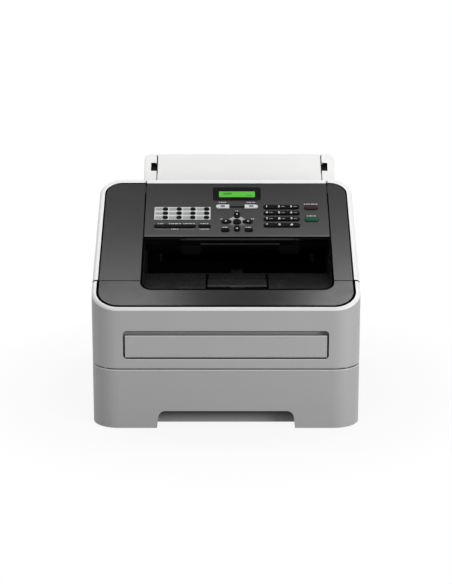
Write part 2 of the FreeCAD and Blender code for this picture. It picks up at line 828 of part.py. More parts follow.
# Manual feed flap with its hinge barrel
cover_half = manual_half_width - manual_gap
manual_face = round_prism(-cover_half, cover_half, manual_axis_z,
                          manual_bottom + manual_gap + manual_cover_height,
                          [0.0, 0.0, manual_corner - manual_gap, manual_corner - manual_gap],
                          -manual_cover_plate, 0)
manual_face = tilted(manual_face, y_front, 0, 90)
manual_edges = flat_edges(manual_face, lambda p: p.y - y_front)
manual_edges = [edge for edge in manual_edges if edge.BoundBox.ZMax > manual_axis_z + manual_edge_round]
manual_pin_end = manual_half_width + manual_pin_length
barrel_half = cover_half - manual_barrel_inset
manual_feed_cover = fuse_all([
    manual_face.makeFillet(manual_edge_round, manual_edges),
    rod(-barrel_half, barrel_half, manual_axis_y, manual_axis_z, manual_barrel),
    rod(-manual_pin_end, manual_pin_end, manual_axis_y, manual_axis_z, manual_pin_radius)])

# Paper tray: rounded front, open box, handle pocket and the webs between them
tray_solid = envelope(0.0, ground_gap).common(box(-big, big, -big, big, -big, tray_seam_height))
tray_solid = tray_solid.makeFillet(tray_edge_round,
                                   flat_edges(tray_solid, lambda p: p.z - tray_seam_height))
tray_front = tray_solid.cut(hollow).common(ahead_of_seam)
tray_x0 = frame_left + tray_clearance
tray_x1 = frame_right - tray_clearance
tray_y0 = y_front + handle_depth
tray_y1 = y_back - tray_back_gap
tray_box = box(tray_x0, tray_x1, tray_y0 - tray_wall, tray_y1, tray_floor_height,
               tray_floor_height + tray_wall_height)
tray_space = box(tray_x0 + tray_wall, tray_x1 - tray_wall, tray_y0, tray_y1 - tray_wall,
                 tray_floor_height + tray_wall, big)
pocket_half = handle_half_width + handle_side_wall
handle_block = box(-pocket_half, pocket_half, y_front + wall / 2, tray_y0, ground_gap,
                   handle_height + handle_top_wall)
web_x = handle_half_width + tray_web_reach
tray_parts = [tray_front, tray_box.cut(tray_space), handle_block,
              box(-web_x, web_x, tray_y0 - tray_wall, tray_y0, tray_floor_height, tray_web_height)]
for x in (-web_x, web_x):
    tray_parts.append(box(x - tray_web / 2, x + tray_web / 2, y_front + wall / 2, tray_y0,
                          tray_floor_height, tray_web_height))
notch_top = handle_half_width - handle_taper
notch_foot = handle_half_width + handle_taper
notch_outline = [vec(-notch_foot, y_front - over, -handle_height),
                 vec(notch_foot, y_front - over, -handle_height),
                 vec(notch_top, y_front - over, handle_height),
                 vec(-notch_top, y_front - over, handle_height)]
notch = Part.Face(Part.makePolygon(notch_outline + notch_outline[:1]))
notch = notch.extrude(vec(0, handle_depth - tray_wall + over, 0))
notch_edges = [edge for edge in notch.Edges
               if edge.BoundBox.YLength > over and edge.BoundBox.ZMin > 0]
notch = notch.makeFillet(handle_corner, notch_edges)
lift_y0 = tray_y0 + lift_front_gap
lift_axis_y = lift_y0 + lift_length - lift_pin_radius
lift_z = tray_floor_height + tray_wall + lift_rise
lift_axis_z = lift_z + lift_sheet_thickness / 2
lug_left = tray_x0 + tray_wall + lift_lug_inset
lug_right = tray_x1 - tray_wall - lift_lug_inset
for x0 in (lug_left, lug_right - lift_lug_width):
    tray_parts.append(box(x0, x0 + lift_lug_width, lift_axis_y - lift_lug_reach,
                          lift_axis_y + lift_lug_reach, tray_floor_height, lift_axis_z + lift_lug_reach))
lift_bore = rod(lug_left - over, lug_right + over, lift_axis_y, lift_axis_z, lift_pin_radius + pin_gap)
paper_tray = fuse_all(tray_parts).cut([notch, lift_bore])

# Lift plate in the tray, with slots for the paper guides
lift_x0 = lug_left + lift_lug_width + lift_side_gap
lift_x1 = lug_right - lift_lug_width - lift_side_gap
lift_sheet = round_prism(lift_x0, lift_x1, lift_y0, lift_axis_y, [lift_corner] * 2 + [0.0] * 2, lift_z,
                         lift_z + lift_sheet_thickness)
guide_slots = []
for x0 in (lift_x0 + guide_slot_inset, lift_x1 - guide_slot_inset - guide_slot_width):
    guide_slots.append(round_prism(x0, x0 + guide_slot_width, lift_y0 + guide_slot_front,
                                   lift_axis_y - guide_slot_back,
                                   [guide_slot_width * round_end] * 4, lift_z - over, lift_z + over))
lift_pin = rod(lug_left + seat_gap, lug_right - seat_gap, lift_axis_y, lift_axis_z, lift_pin_radius)
lift_plate = fuse_all([lift_sheet.cut(guide_slots), lift_pin])

# Chassis: side frames, tray ledges, paper deck, skids and the rear wall
frame_y0 = y_front + frame_front_setback
frame_y1 = y_back - wall
frame_low = tray_floor_height - seat_gap - ledge_thickness
upper_wall_y = y_upper - wall - skin_gap
frame_outline = [(frame_y0, frame_low), (frame_y1, frame_low), (frame_y1, rear_deck_height),
                 (upper_wall_y, rear_deck_height), (upper_wall_y, deck_height(upper_wall_y)),
                 (frame_y0, deck_height(frame_y0))]
chassis_parts = []
for x0 in (frame_left - frame_plate, frame_right):
    chassis_parts.append(side_prism(frame_outline, x0, x0 + frame_plate).common(inside_walls))
ledge_high = frame_low + ledge_thickness
chassis_parts.append(box(frame_left - frame_plate, frame_left + ledge_width, frame_y0, tray_y1, frame_low,
                         ledge_high))
chassis_parts.append(box(frame_right - ledge_width, frame_right + frame_plate, frame_y0, tray_y1, frame_low,
                         ledge_high))
skid_x = half_width - wall - skid_gap
skid_y1 = frame_y1 - corner_back
skid_high = side_base + skid_height
chassis_parts.append(box(-skid_x, frame_left - frame_side_gap, frame_y0, skid_y1, side_base, skid_high))
chassis_parts.append(box(frame_right + frame_side_gap, skid_x, frame_y0, skid_y1, side_base, skid_high))
deck_half = half_width - corner_front + deck_corner_reach
deck_high = deck_low + deck_plate
chassis_parts.append(box(-deck_half, deck_half, y_front + deck_front_setback, frame_y0 + frame_plate,
                         deck_low, deck_high))
wide_deck = box(frame_left - frame_plate, frame_right + frame_plate, frame_y0, frame_y1, deck_low,
                deck_high)
chassis_parts.append(wide_deck.common(inside_walls))
chassis_parts.append(box(left_edge + cover_gap, right_edge - cover_gap, frame_y0, y_back - wall / 2,
                         deck_low, deck_high))
rest_height = deck_height(y_upper, chute_top) - rest_step
rear_wall_top = rest_height - rest_depth - rest_edge_round
rear_zone = box(left_edge + cover_gap, right_edge - cover_gap, y_upper - wall - skin_gap, big, -big,
                rear_wall_top)
chassis_parts.append(envelope(0.0, side_base).cut(hollow).common(rear_zone))
flange_y0 = y_back - wall - flange_thickness
flange_high = rear_deck_height - wall - skin_gap
for side_x0, side_x1, lap_x0, lap_x1 in (
        (frame_left - flange_reach, left_edge + flange_lap, left_edge + cover_gap, left_edge + flange_lap),
        (right_edge - flange_lap, frame_right + flange_reach, right_edge - flange_lap,
         right_edge - cover_gap)):
    flange = box(side_x0, side_x1, flange_y0, y_back - wall, frame_low, flange_high)
    chassis_parts.append(flange.common(inside_walls))
    chassis_parts.append(box(lap_x0, lap_x1, flange_y0, y_back - wall / 2, side_base, flange_high))

# Arms of the front cover's hinge, fixed to the paper deck
for side in (-1, 1):
    x0, x1 = sorted((side * arm_x, side * (arm_x + front_arm_width)))
    y_deck = y_front + deck_front_setback
    arm_low = front_axis_z - front_arm_half_height
    arm_high = front_axis_z + front_arm_half_height
    chassis_parts.append(box(x0, x1, y_deck, frame_y0, deck_low, arm_high))
    chassis_parts.append(box(x0, x1, front_axis_y, y_deck + deck_plate, arm_low, arm_high))
    chassis_parts.append(rod(x0, x1, front_axis_y, front_axis_z, front_arm_radius))

# Socket blocks behind the rear wall: power inlet, telephone line and handset
sockets = ((left_edge + power_inset, power_half_width, power_half_height),
           (right_edge - line_inset, phone_half_width, phone_half_height),
           (right_edge - handset_inset, phone_half_width, phone_half_height))
chassis_cuts = list(screw_holes)
for x, half_w, half_h in sockets:
    chassis_parts.append(box(x - half_w - socket_wall, x + half_w + socket_wall, y_back - socket_depth,
                             y_back - wall / 2, socket_height - half_h - socket_wall,
                             socket_height + half_h + socket_wall))
    chassis_cuts.append(box(x - half_w, x + half_w, y_back - socket_depth + socket_wall, y_back + over,
                            socket_height - half_h, socket_height + half_h))

# Opening for the rear cover with its hinge lugs, and the bores of the pins and shafts
rear_x0 = paper_centre - rear_half_width
rear_x1 = paper_centre + rear_half_width
rear_bottom = deck_low + rear_rise
rear_top = rear_deck_height - rear_top_drop
rear_axis_y = y_back - rear_barrel
rear_axis_z = rear_bottom + rear_gap + rear_barrel
fuser_y = y_back - fuser_back_setback
fuser_z = deck_low + fuser_rise
for x0 in (rear_x0 - rear_lug_width, rear_x1):
    chassis_parts.append(box(x0, x0 + rear_lug_width, rear_axis_y - rear_lug_half_height, y_back - wall / 2,
                             rear_axis_z - rear_lug_half_height, rear_axis_z + rear_lug_half_height))
chassis_parts.append(box(rear_x0 - rear_lap, rear_x1 + rear_lap, y_back - wall - rear_lap_plate,
                         y_back - wall / 2, rear_axis_z + rear_barrel + rear_lap, rear_top + rear_lap))
chassis_cuts.append(box(rear_x0, rear_x1, y_back - rear_plate - rear_seat_gap, y_back + over, rear_bottom,
                        rear_top))
chassis_cuts.append(box(rear_x0 + rear_lap, rear_x1 - rear_lap, y_back - wall - over, y_back + over,
                        rear_bottom, rear_top - rear_lap))
chassis_cuts.append(rod(rear_x0 - rear_pin_length - seat_gap, rear_x1 + rear_pin_length + seat_gap,
                        rear_axis_y, rear_axis_z, rear_pin_radius + pin_gap))
chassis_cuts.append(rod(-big, big, fuser_y, fuser_z, fuser_shaft_radius + pin_gap))
chassis_cuts.append(rod(-big, big, front_axis_y, front_axis_z, front_pin_radius + pin_gap))
chassis = fuse_all(chassis_parts).cut(chassis_cuts)

# Rear cover with its hinge barrel
rear_face = round_prism(rear_x0 + rear_gap, rear_x1 - rear_gap, rear_axis_z, rear_top - rear_gap,
                        [0.0, 0.0, rear_corner, rear_corner], 0, rear_plate)
rear_face = tilted(rear_face, y_back, 0, 90)
rear_edges = flat_edges(rear_face, lambda p: p.y - y_back)
rear_edges = [edge for edge in rear_edges if edge.BoundBox.ZMax > rear_axis_z + rear_edge_round]
rear_cover = fuse_all([
    rear_face.makeFillet(rear_edge_round, rear_edges),
    rod(rear_x0 + rear_gap, rear_x1 - rear_gap, rear_axis_y, rear_axis_z, rear_barrel),
    rod(rear_x0 - rear_pin_length, rear_x1 + rear_pin_length, rear_axis_y, rear_axis_z, rear_pin_radius)])

# Fuser pressure roller between the side frames
pressure_roller = fuse_all([
    rod(frame_left + fuser_end_gap, frame_right - fuser_end_gap, fuser_y, fuser_z, fuser_radius),
    rod(frame_left - frame_plate + seat_gap, frame_right + frame_plate - seat_gap, fuser_y, fuser_z,
        fuser_shaft_radius)])

# Toner and drum cartridge on the paper deck
toner_x0 = frame_left + toner_end_gap
toner_x1 = frame_right - toner_end_gap
toner_y0 = y_front + toner_front_setback
toner_y1 = toner_y0 + toner_length
toner_z0 = deck_high + seat_gap
toner_z1 = toner_z0 + toner_height
toner_outline = [(toner_y0, toner_z0 + toner_nose), (toner_y0 + toner_nose, toner_z0), (toner_y1, toner_z0),
                 (toner_y1, toner_z0 + toner_back_height),
                 (toner_y1 - toner_back_slope, toner_z1 - toner_nose),
                 (toner_y0 + toner_shoulder, toner_z1), (toner_y0 + toner_nose, toner_z1),
                 (toner_y0, toner_z1 - toner_nose)]
drum_y = toner_y1 + drum_overhang - drum_radius
grip_low = toner_z0 + toner_grip_rise
toner_cartridge = fuse_all([
    side_prism(toner_outline, toner_x0, toner_x1),
    rod(toner_x0 + drum_end_gap, toner_x1 - drum_end_gap, drum_y, toner_z0 + drum_radius, drum_radius),
    box(paper_centre - toner_grip_half_width, paper_centre + toner_grip_half_width,
        toner_y0 - toner_grip_reach, toner_y0 + toner_grip_reach, grip_low, grip_low + toner_grip_height)])

# Document rest behind the upper housing: sloping plate with grooves, flange and gussets
rest_left = well_left - rest_left_reach
rest_right = well_right + rest_right_reach
rest_y = y_upper + rest_start
rest_rad = math.radians(rest_angle)
support_left = rest_left + rest_side_width
support_right = rest_right - rest_side_width


def on_rest(shape):
    return tilted(shape, rest_y, rest_height, rest_angle)


rest_block = round_prism(rest_left, rest_right, -rest_start, rest_length,
                         [0.0, 0.0, rest_corner, rest_corner], -rest_depth, 0.0)
rest_edges = flat_edges(rest_block, lambda p: p.z)
rest_edges = [edge for edge in rest_edges if edge.BoundBox.YMax > 0.0]
rest_block = rest_block.makeFillet(rest_edge_round, rest_edges)
tongue_high = -tongue_roof - seat_gap
tongue_low = tongue_high - tongue_height
channel = box(support_left - support_gap, support_right + support_gap, -big, big,
              -support_plate - 2 * seat_gap, over)
tongue_room = box(support_left - tongue_width - seat_gap, support_right + tongue_width + seat_gap, -big,
                  big, tongue_low - seat_gap, tongue_high + seat_gap)
rest_cuts = [channel, tongue_room]
window_end = rest_window_start + rest_window_length
for x0, x1 in ((support_left - support_gap - rest_window_width, support_left),
               (support_right, support_right + support_gap + rest_window_width)):
    rest_cuts.append(box(x0, x1, rest_window_start, window_end, tongue_low - tongue_height, over))
flange_y = y_upper + seat_gap
flange_low = rest_height - gusset_drop
flange_top = rest_height - rest_depth
rest_parts = [on_rest(rest_block.cut(rest_cuts))]
rest_parts.append(side_prism([(flange_y, flange_low), (flange_y + rest_flange_thickness, flange_low),
                              (flange_y + rest_flange_top, flange_top - rest_edge_round),
                              (flange_y + rest_flange_top / 2, flange_top + rest_edge_round),
                              (flange_y, flange_top + rest_edge_round)],
                             rest_left + rest_flange_inset, rest_right - rest_flange_inset))
gusset_y = rest_y + gusset_share * rest_length * math.cos(rest_rad)
gusset_z = rest_height + gusset_share * rest_length * math.sin(rest_rad) - rest_depth + rest_edge_round / 2
for x0 in (rest_left + gusset_inset, rest_right - gusset_inset - gusset_width):
    rest_parts.append(side_prism([(flange_y, flange_low), (flange_y + gusset_width, flange_low),
                                  (gusset_y, gusset_z),
                                  (flange_y + rest_depth, flange_top + rest_edge_round / 2),
                                  (flange_y, flange_top)],
                                 x0, x0 + gusset_width))
document_rest = fuse_all(rest_parts)

# Sliding support plate with side tongues
support_sheet = round_prism(support_left, support_right, support_start, rest_length,
                            [0.0, 0.0, support_corner, support_corner], -support_plate - seat_gap,
                            -seat_gap)
support_edges = flat_edges(support_sheet, lambda p: p.z + seat_gap)
tongues = box(support_left - tongue_width, support_right + tongue_width, support_start,
              rest_window_start - tongue_end_gap, tongue_low, tongue_high)
document_support = on_rest(support_sheet.makeFillet(support_edge_round, support_edges).fuse(tongues))

# Feet
feet = []
for x in (-half_width + foot_inset, half_width - foot_inset):
    for y in (y_front + foot_front_setback, y_back - foot_back_setback):
        foot = Part.makeCylinder(foot_radius, side_base, vec(x, y, 0), VZ)
        feet.append(foot.makeFillet(foot_edge_round, flat_edges(foot, lambda p: p.z)))

pieces = {
    "left_side_cover": left_side_cover, "right_side_cover": right_side_cover, "top_cover": top_cover,
    "output_tray": output_tray, "output_flap": output_flap, "control_panel": control_panel,
    "panel_base": panel_base, "scan_roller": scan_roller, "display_window": display_window,
    "front_cover": front_cover, "manual_feed_cover": manual_feed_cover, "paper_tray": paper_tray,
    "lift_plate": lift_plate, "chassis": chassis, "rear_cover": rear_cover,
    "pressure_roller": pressure_roller,
    "toner_cartridge": toner_cartridge, "document_rest": document_rest,
    "document_support": document_support,
    "rubber_feet": Part.makeCompound(feet), "case_screws": Part.makeCompound(screws)}
for name, shape in pieces.items():
    save(name, shape)
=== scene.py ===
import bpy
import bmesh
import math
from mathutils import Matrix, Vector


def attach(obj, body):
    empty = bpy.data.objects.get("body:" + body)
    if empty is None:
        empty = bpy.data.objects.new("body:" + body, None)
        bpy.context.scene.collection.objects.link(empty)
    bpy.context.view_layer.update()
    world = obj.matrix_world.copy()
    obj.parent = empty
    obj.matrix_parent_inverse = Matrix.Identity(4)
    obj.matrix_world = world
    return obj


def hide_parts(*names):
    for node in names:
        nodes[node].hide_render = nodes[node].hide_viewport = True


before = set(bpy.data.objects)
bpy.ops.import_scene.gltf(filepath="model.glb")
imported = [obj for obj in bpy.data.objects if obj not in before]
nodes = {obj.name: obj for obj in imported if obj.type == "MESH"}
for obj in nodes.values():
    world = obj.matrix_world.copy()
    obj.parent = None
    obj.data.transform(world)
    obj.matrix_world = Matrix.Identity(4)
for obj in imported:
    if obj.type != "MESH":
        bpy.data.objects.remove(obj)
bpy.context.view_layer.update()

# Places are in metres, and drawings on the sloping top are in millimetres
MM = 0.001

# The sloping top: s runs up the slope from the front face, n stands square to it
DECK_ANGLE = math.radians(22.2)
DECK_FRONT = Vector((0.0, -0.180, 0.173))
DECK = Matrix.Translation(DECK_FRONT) @ Matrix.Rotation(DECK_ANGLE, 4, "X")
DECK_NORMAL = Vector((0.0, -math.sin(DECK_ANGLE), math.cos(DECK_ANGLE)))
DECK_UP = Vector((0.0, math.cos(DECK_ANGLE), math.sin(DECK_ANGLE)))

# The document rest leans back on its own slope
REST_ANGLE = math.radians(33.0)
REST_FRONT = Vector((0.0, 0.108, 0.2706))
REST_NORMAL = Vector((0.0, -math.sin(REST_ANGLE), math.cos(REST_ANGLE)))
REST_UP = Vector((0.0, math.cos(REST_ANGLE), math.sin(REST_ANGLE)))

# Middles across: the panel in its drawing and in metres, the flap in the well, the chute and the rest
PANEL_CENTRE = 15.8
PANEL_MIDDLE = PANEL_CENTRE * MM
FLAP_MIDDLE = 0.0155
CHUTE_MIDDLE = 0.0199
REST_MIDDLE = 0.0198

# Grain and unevenness of the finishes
NOISE_SPAN = (0.3, 0.7)
CLOUD_SCALE = 22.0
TONE_SPREAD = 0.012
POLISH_SCALE = 60.0
POLISH_SPREAD = 0.02
SPARK_SCALE = 2400.0
SPARK_STRENGTH = 0.2
NO_GRAIN = 0.0
SMOOTH_GRAIN = 0.000005
PAINT_GRAIN = 0.00001
MOULDED_GRAIN = 0.00002
RUBBER_GRAIN = 0.00004
PLAIN_SHINE = 0.5


# Node helpers for the finishes
def new_finish(name):
    finish = bpy.data.materials.new(name)
    finish.use_nodes = True
    tree = finish.node_tree
    tree.nodes.clear()
    out = tree.nodes.new("ShaderNodeOutputMaterial")
    shader = tree.nodes.new("ShaderNodeBsdfPrincipled")
    tree.links.new(shader.outputs["BSDF"], out.inputs["Surface"])
    return finish, tree, shader


def place(tree):
    return tree.nodes.new("ShaderNodeTexCoord").outputs["Object"]


def feed(tree, socket, value):
    if hasattr(value, "is_linked"):
        tree.links.new(value, socket)
    else:
        socket.default_value = value


def calc(tree, operation, a, b=0.0):
    node = tree.nodes.new("ShaderNodeMath")
    node.operation = operation
    feed(tree, node.inputs[0], a)
    feed(tree, node.inputs[1], b)
    return node.outputs[0]


def coordinate(tree, axis):
    split = tree.nodes.new("ShaderNodeSeparateXYZ")
    tree.links.new(place(tree), split.inputs[0])
    return split.outputs[axis]


def noise(tree, scale, detail=2.0, roughness=0.5):
    node = tree.nodes.new("ShaderNodeTexNoise")
    node.inputs["Scale"].default_value = scale
    node.inputs["Detail"].default_value = detail
    node.inputs["Roughness"].default_value = roughness
    tree.links.new(place(tree), node.inputs["Vector"])
    return node.outputs["Fac"]


def ramp(tree, value, span, low=0.0, high=1.0):
    # Straight change from one value to another over a span
    node = tree.nodes.new("ShaderNodeMapRange")
    tree.links.new(value, node.inputs["Value"])
    node.inputs["From Min"].default_value = span[0]
    node.inputs["From Max"].default_value = span[1]
    node.inputs["To Min"].default_value = low
    node.inputs["To Max"].default_value = high
    return node.outputs["Result"]


def between(tree, factor, low, high):
    # The middle of a noise spread over a range
    return ramp(tree, factor, NOISE_SPAN, low, high)


def mix(tree, factor, first, second):
    node = tree.nodes.new("ShaderNodeMix")
    node.data_type = "RGBA"
    feed(tree, node.inputs["Factor"], factor)
    feed(tree, node.inputs["A"], first)
    feed(tree, node.inputs["B"], second)
    return node.outputs["Result"]


def blend(tree, mask, old, new):
    kept = calc(tree, "MULTIPLY", old, calc(tree, "SUBTRACT", 1.0, mask))
    return calc(tree, "ADD", kept, calc(tree, "MULTIPLY", mask, new))


def tinted(colour, gain):
    return (colour[0] * gain, colour[1] * gain, colour[2] * gain, 1.0)


def grained(tree, shader, depth, scale=SPARK_SCALE):
    # Fine spark texture of a moulded surface
    bump = tree.nodes.new("ShaderNodeBump")
    bump.inputs["Strength"].default_value = SPARK_STRENGTH
    bump.inputs["Distance"].default_value = depth
    tree.links.new(noise(tree, scale, roughness=0.6), bump.inputs["Height"])
    tree.links.new(bump.outputs["Normal"], shader.inputs["Normal"])


def cloudy(tree, colour, spread):
    # The same material with a faint unevenness of tone
    factor = between(tree, noise(tree, CLOUD_SCALE, detail=4.0, roughness=0.55), 0.0, 1.0)
    return mix(tree, factor, tinted(colour, 1.0 - spread), tinted(colour, 1.0 + spread))


def polish(tree, low, high):
    # Roughness that wanders between two values
    return between(tree, noise(tree, POLISH_SCALE, detail=3.0), low, high)


def plastic(name, colour, rough, grain=MOULDED_GRAIN, spread=TONE_SPREAD, shine=PLAIN_SHINE):
    # A moulding in one colour
    finish, tree, shader = new_finish(name)
    shader.inputs["Specular IOR Level"].default_value = shine
    tree.links.new(cloudy(tree, colour, spread), shader.inputs["Base Color"])
    tree.links.new(polish(tree, rough - POLISH_SPREAD, rough + POLISH_SPREAD), shader.inputs["Roughness"])
    grained(tree, shader, grain)
    return finish


def zoned(name, ground, layers, grain=MOULDED_GRAIN):
    # A moulding in several colours: the ground, and layers that each cover a zone of their own.
    # Ground and layers hold a colour, a roughness and a shine.
    # A layer as shiny as the ground leaves the shine as it is.
    finish, tree, shader = new_finish(name)
    colour, rough, ground_shine = ground
    colour = cloudy(tree, colour, TONE_SPREAD)
    shine = ground_shine
    for (layer_colour, layer_rough, layer_shine), zone in layers:
        mask = zone(tree)
        colour = mix(tree, mask, colour, cloudy(tree, layer_colour, TONE_SPREAD))
        rough = blend(tree, mask, rough, layer_rough)
        if layer_shine != ground_shine:
            shine = blend(tree, mask, shine, layer_shine)
    uneven = polish(tree, -POLISH_SPREAD, POLISH_SPREAD)
    tree.links.new(colour, shader.inputs["Base Color"])
    tree.links.new(calc(tree, "ADD", rough, uneven), shader.inputs["Roughness"])
    feed(tree, shader.inputs["Specular IOR Level"], shine)
    grained(tree, shader, grain)
    return finish


def metal(name, colour, spread, smooth, rough, marks, grain=SPARK_SCALE):
    # Bare metal: cloudy tone, and roughness that varies between two values with the marks on it
    finish, tree, shader = new_finish(name)
    shader.inputs["Metallic"].default_value = 1.0
    tree.links.new(cloudy(tree, colour, spread), shader.inputs["Base Color"])
    tree.links.new(between(tree, noise(tree, marks, detail=5.0), smooth, rough), shader.inputs["Roughness"])
    grained(tree, shader, MOULDED_GRAIN, grain)
    return finish


# Tests on a place: each gives one where it holds and nought elsewhere
def above(tree, value, limit):
    return calc(tree, "GREATER_THAN", value, limit)


def below(tree, value, limit):
    return calc(tree, "LESS_THAN", value, limit)


def both(tree, first, second):
    return calc(tree, "MULTIPLY", first, second)


def either(tree, first, second):
    return calc(tree, "MAXIMUM", first, second)


def inside(tree, value, span):
    return both(tree, above(tree, value, span[0]), below(tree, value, span[1]))


# Distances that the tests compare
def away(tree, value, middle=0.0):
    # Distance to either side of a middle
    return calc(tree, "ABSOLUTE", calc(tree, "SUBTRACT", value, middle))


def along(tree, direction, start):
    # Distance along a direction, from a starting point
    dot = tree.nodes.new("ShaderNodeVectorMath")
    dot.operation = "DOT_PRODUCT"
    tree.links.new(place(tree), dot.inputs[0])
    dot.inputs[1].default_value = direction
    return calc(tree, "SUBTRACT", dot.outputs["Value"], direction.dot(start))


def deck_height(tree):
    return along(tree, DECK_NORMAL, DECK_FRONT)


def deck_run(tree):
    return along(tree, DECK_UP, DECK_FRONT)


def repeated(tree, value, start, pitch):
    # Place within one pitch of a row that repeats
    return calc(tree, "MODULO", calc(tree, "SUBTRACT", value, start), pitch)


# Inner edge of the light rim seen from above: a rectangle with two radii
RIM_HALF = 0.1757
RIM_FRONT = -0.1761
RIM_BACK = 0.0930
RIM_FRONT_RADIUS = 0.030
RIM_BACK_RADIUS = 0.025


def corner_reach(tree, x, ahead, radius):
    # Distance outside a rounded rectangle, measured near its two corners at one end
    across = calc(tree, "MAXIMUM", calc(tree, "SUBTRACT", away(tree, x), RIM_HALF - radius), 0.0)
    beyond = calc(tree, "MAXIMUM", ahead, 0.0)
    squares = calc(tree, "ADD", calc(tree, "POWER", across, 2.0), calc(tree, "POWER", beyond, 2.0))
    return calc(tree, "SUBTRACT", calc(tree, "SQRT", squares), radius)


def rim_reach(tree):
    # Distance outside the inner edge of the light rim
    x = coordinate(tree, "X")
    y = coordinate(tree, "Y")
    front = corner_reach(tree, x, calc(tree, "SUBTRACT", RIM_FRONT + RIM_FRONT_RADIUS, y), RIM_FRONT_RADIUS)
    back = corner_reach(tree, x, calc(tree, "SUBTRACT", y, RIM_BACK - RIM_BACK_RADIUS), RIM_BACK_RADIUS)
    return either(tree, front, back)


# Zones of the side covers and of the front cover's top
RIM_FOOT = -0.0037
GROOVE_FOOT = -0.0030
SIDE_GROOVE_REACH = 0.0009
SIDE_SEAM = -0.1225
PANEL_BAY = (-0.11868, 0.14968)
FRONT_GROOVE_REACH = 0.0020
FRONT_SEAM = -0.1253
STRIP_REACH = -0.0016
STRIP_EDGE_REACH = -0.0013


def rim_zone(tree):
    # Light rim round the sloping top
    return above(tree, deck_height(tree), RIM_FOOT)


def side_seam_zone(tree):
    # Cut faces of a side cover, painted near-black as shade: along the groove, beside the panel and at the
    # front seam
    groove = below(tree, rim_reach(tree), SIDE_GROOVE_REACH)
    seam = below(tree, coordinate(tree, "Y"), SIDE_SEAM)
    beside_panel = inside(tree, coordinate(tree, "X"), PANEL_BAY)
    return either(tree, both(tree, either(tree, groove, seam), rim_zone(tree)), beside_panel)


def front_groove_zone(tree):
    # Groove inside the rim, and the seam towards the side covers, painted near-black as shade
    groove = below(tree, rim_reach(tree), FRONT_GROOVE_REACH)
    seam = above(tree, coordinate(tree, "Y"), FRONT_SEAM)
    return both(tree, either(tree, groove, seam), above(tree, deck_height(tree), GROOVE_FOOT))


def front_strip_zone(tree):
    # Dark strip of the front cover, in front of the well
    within = below(tree, rim_reach(tree), STRIP_REACH)
    return both(tree, within, above(tree, deck_height(tree), GROOVE_FOOT))


def strip_edge_zone(tree):
    # Outer edge of the dark top cover, in the groove, painted near-black as shade
    return above(tree, rim_reach(tree), STRIP_EDGE_REACH)


# Zones of the manual feed opening and of its flap
FEED_DEPTH = (-0.1796, -0.1600)
FEED_RISE = (0.0990, 0.1345)
FEED_WALL = 0.1398
FEED_WALL_END = 0.1436
FEED_SILL = 0.1008
FEED_RECESS_HALF = 0.1404
FEED_RECESS_TOP = 0.1406
FEED_SHADE_RISE = (0.1358, 0.1378)
FEED_FLAP_END = 0.1374
FEED_FLAP_FOOT = 0.1023
FEED_HIGHLIGHT_TOP = 0.1325
FEED_HIGHLIGHT_FOOT = 0.1035
FEED_HIGHLIGHT_FACE = -0.1780
SILL_RISE = (0.0993, 0.1008)
SILL_FACE = -0.1795
SILL_HALF = 0.1360


def feed_gap_zone(tree):
    # Walls of the opening behind the edges of its flap, painted near-black as shade
    out = away(tree, coordinate(tree, "X"))
    z = coordinate(tree, "Z")
    near = both(tree, inside(tree, coordinate(tree, "Y"), FEED_DEPTH), inside(tree, z, FEED_RISE))
    walls = either(tree, above(tree, out, FEED_WALL), below(tree, z, FEED_SILL))
    return both(tree, both(tree, near, walls), below(tree, out, FEED_WALL_END))


def feed_shade_zone(tree):
    # Painted shade on the back of the finger recess over the flap, darker towards its top
    out = away(tree, coordinate(tree, "X"))
    z = coordinate(tree, "Z")
    deep = inside(tree, coordinate(tree, "Y"), FEED_DEPTH)
    recess = both(tree, deep, below(tree, out, FEED_RECESS_HALF))
    return both(tree, both(tree, recess, below(tree, z, FEED_RECESS_TOP)), ramp(tree, z, FEED_SHADE_RISE))


def feed_edge_zone(tree):
    # Ends and lower edge of the flap, painted near-black as shade in the gap round it
    ends = above(tree, away(tree, coordinate(tree, "X")), FEED_FLAP_END)
    return either(tree, ends, below(tree, coordinate(tree, "Z"), FEED_FLAP_FOOT))


def feed_highlight_zone(tree):
    # Painted highlights along the upper and lower edges of the flap
    z = coordinate(tree, "Z")
    edges = either(tree, above(tree, z, FEED_HIGHLIGHT_TOP), below(tree, z, FEED_HIGHLIGHT_FOOT))
    return both(tree, edges, below(tree, coordinate(tree, "Y"), FEED_HIGHLIGHT_FACE))


def feed_sill_zone(tree):
    # Painted highlight along the lower edge of the opening
    level = inside(tree, coordinate(tree, "Z"), SILL_RISE)
    sill = both(tree, level, below(tree, coordinate(tree, "Y"), SILL_FACE))
    return both(tree, sill, below(tree, away(tree, coordinate(tree, "X")), SILL_HALF))


# Zones of the control panel
PANEL_TOP_SIDES = (-0.1160, 0.1470)
PANEL_GROOVE_RUN = 0.29392
PANEL_RIM_RUN = 0.29480
PANEL_RIM_FOOT = -0.0045
PANEL_SKIN_FOOT = -0.0002
SHEEN_RUN = (0.285, 0.163)
SHEEN_OUT = (0.040, 0.120)
SHEEN_AT_SIDES = 0.33
BRINK_RUN = 0.1652
BRINK_FOOT = -0.0004
PANEL_FACE_RUN = 0.1640
PANEL_FACE_RISE = (-0.0030, -0.0004)
PANEL_LIP_RISE = (-0.0052, -0.0030)
PANEL_LIP_HALF = 0.0763
RIDGE_RUN = (0.1660, 0.1740)
RIDGE_RISE = (-0.0135, -0.0080)
RIDGE_HALF = 0.0845


def panel_groove_zone(tree):
    # Groove before the rear rim, and the panel's side faces, painted near-black as shade
    groove = above(tree, deck_run(tree), PANEL_GROOVE_RUN)
    sides = calc(tree, "SUBTRACT", 1.0, inside(tree, coordinate(tree, "X"), PANEL_TOP_SIDES))
    return either(tree, groove, sides)


def panel_rim_zone(tree):
    # Light rim at the rear of the panel
    rear = above(tree, deck_run(tree), PANEL_RIM_RUN)
    top = both(tree, rear, above(tree, deck_height(tree), PANEL_RIM_FOOT))
    return both(tree, top, inside(tree, coordinate(tree, "X"), PANEL_TOP_SIDES))


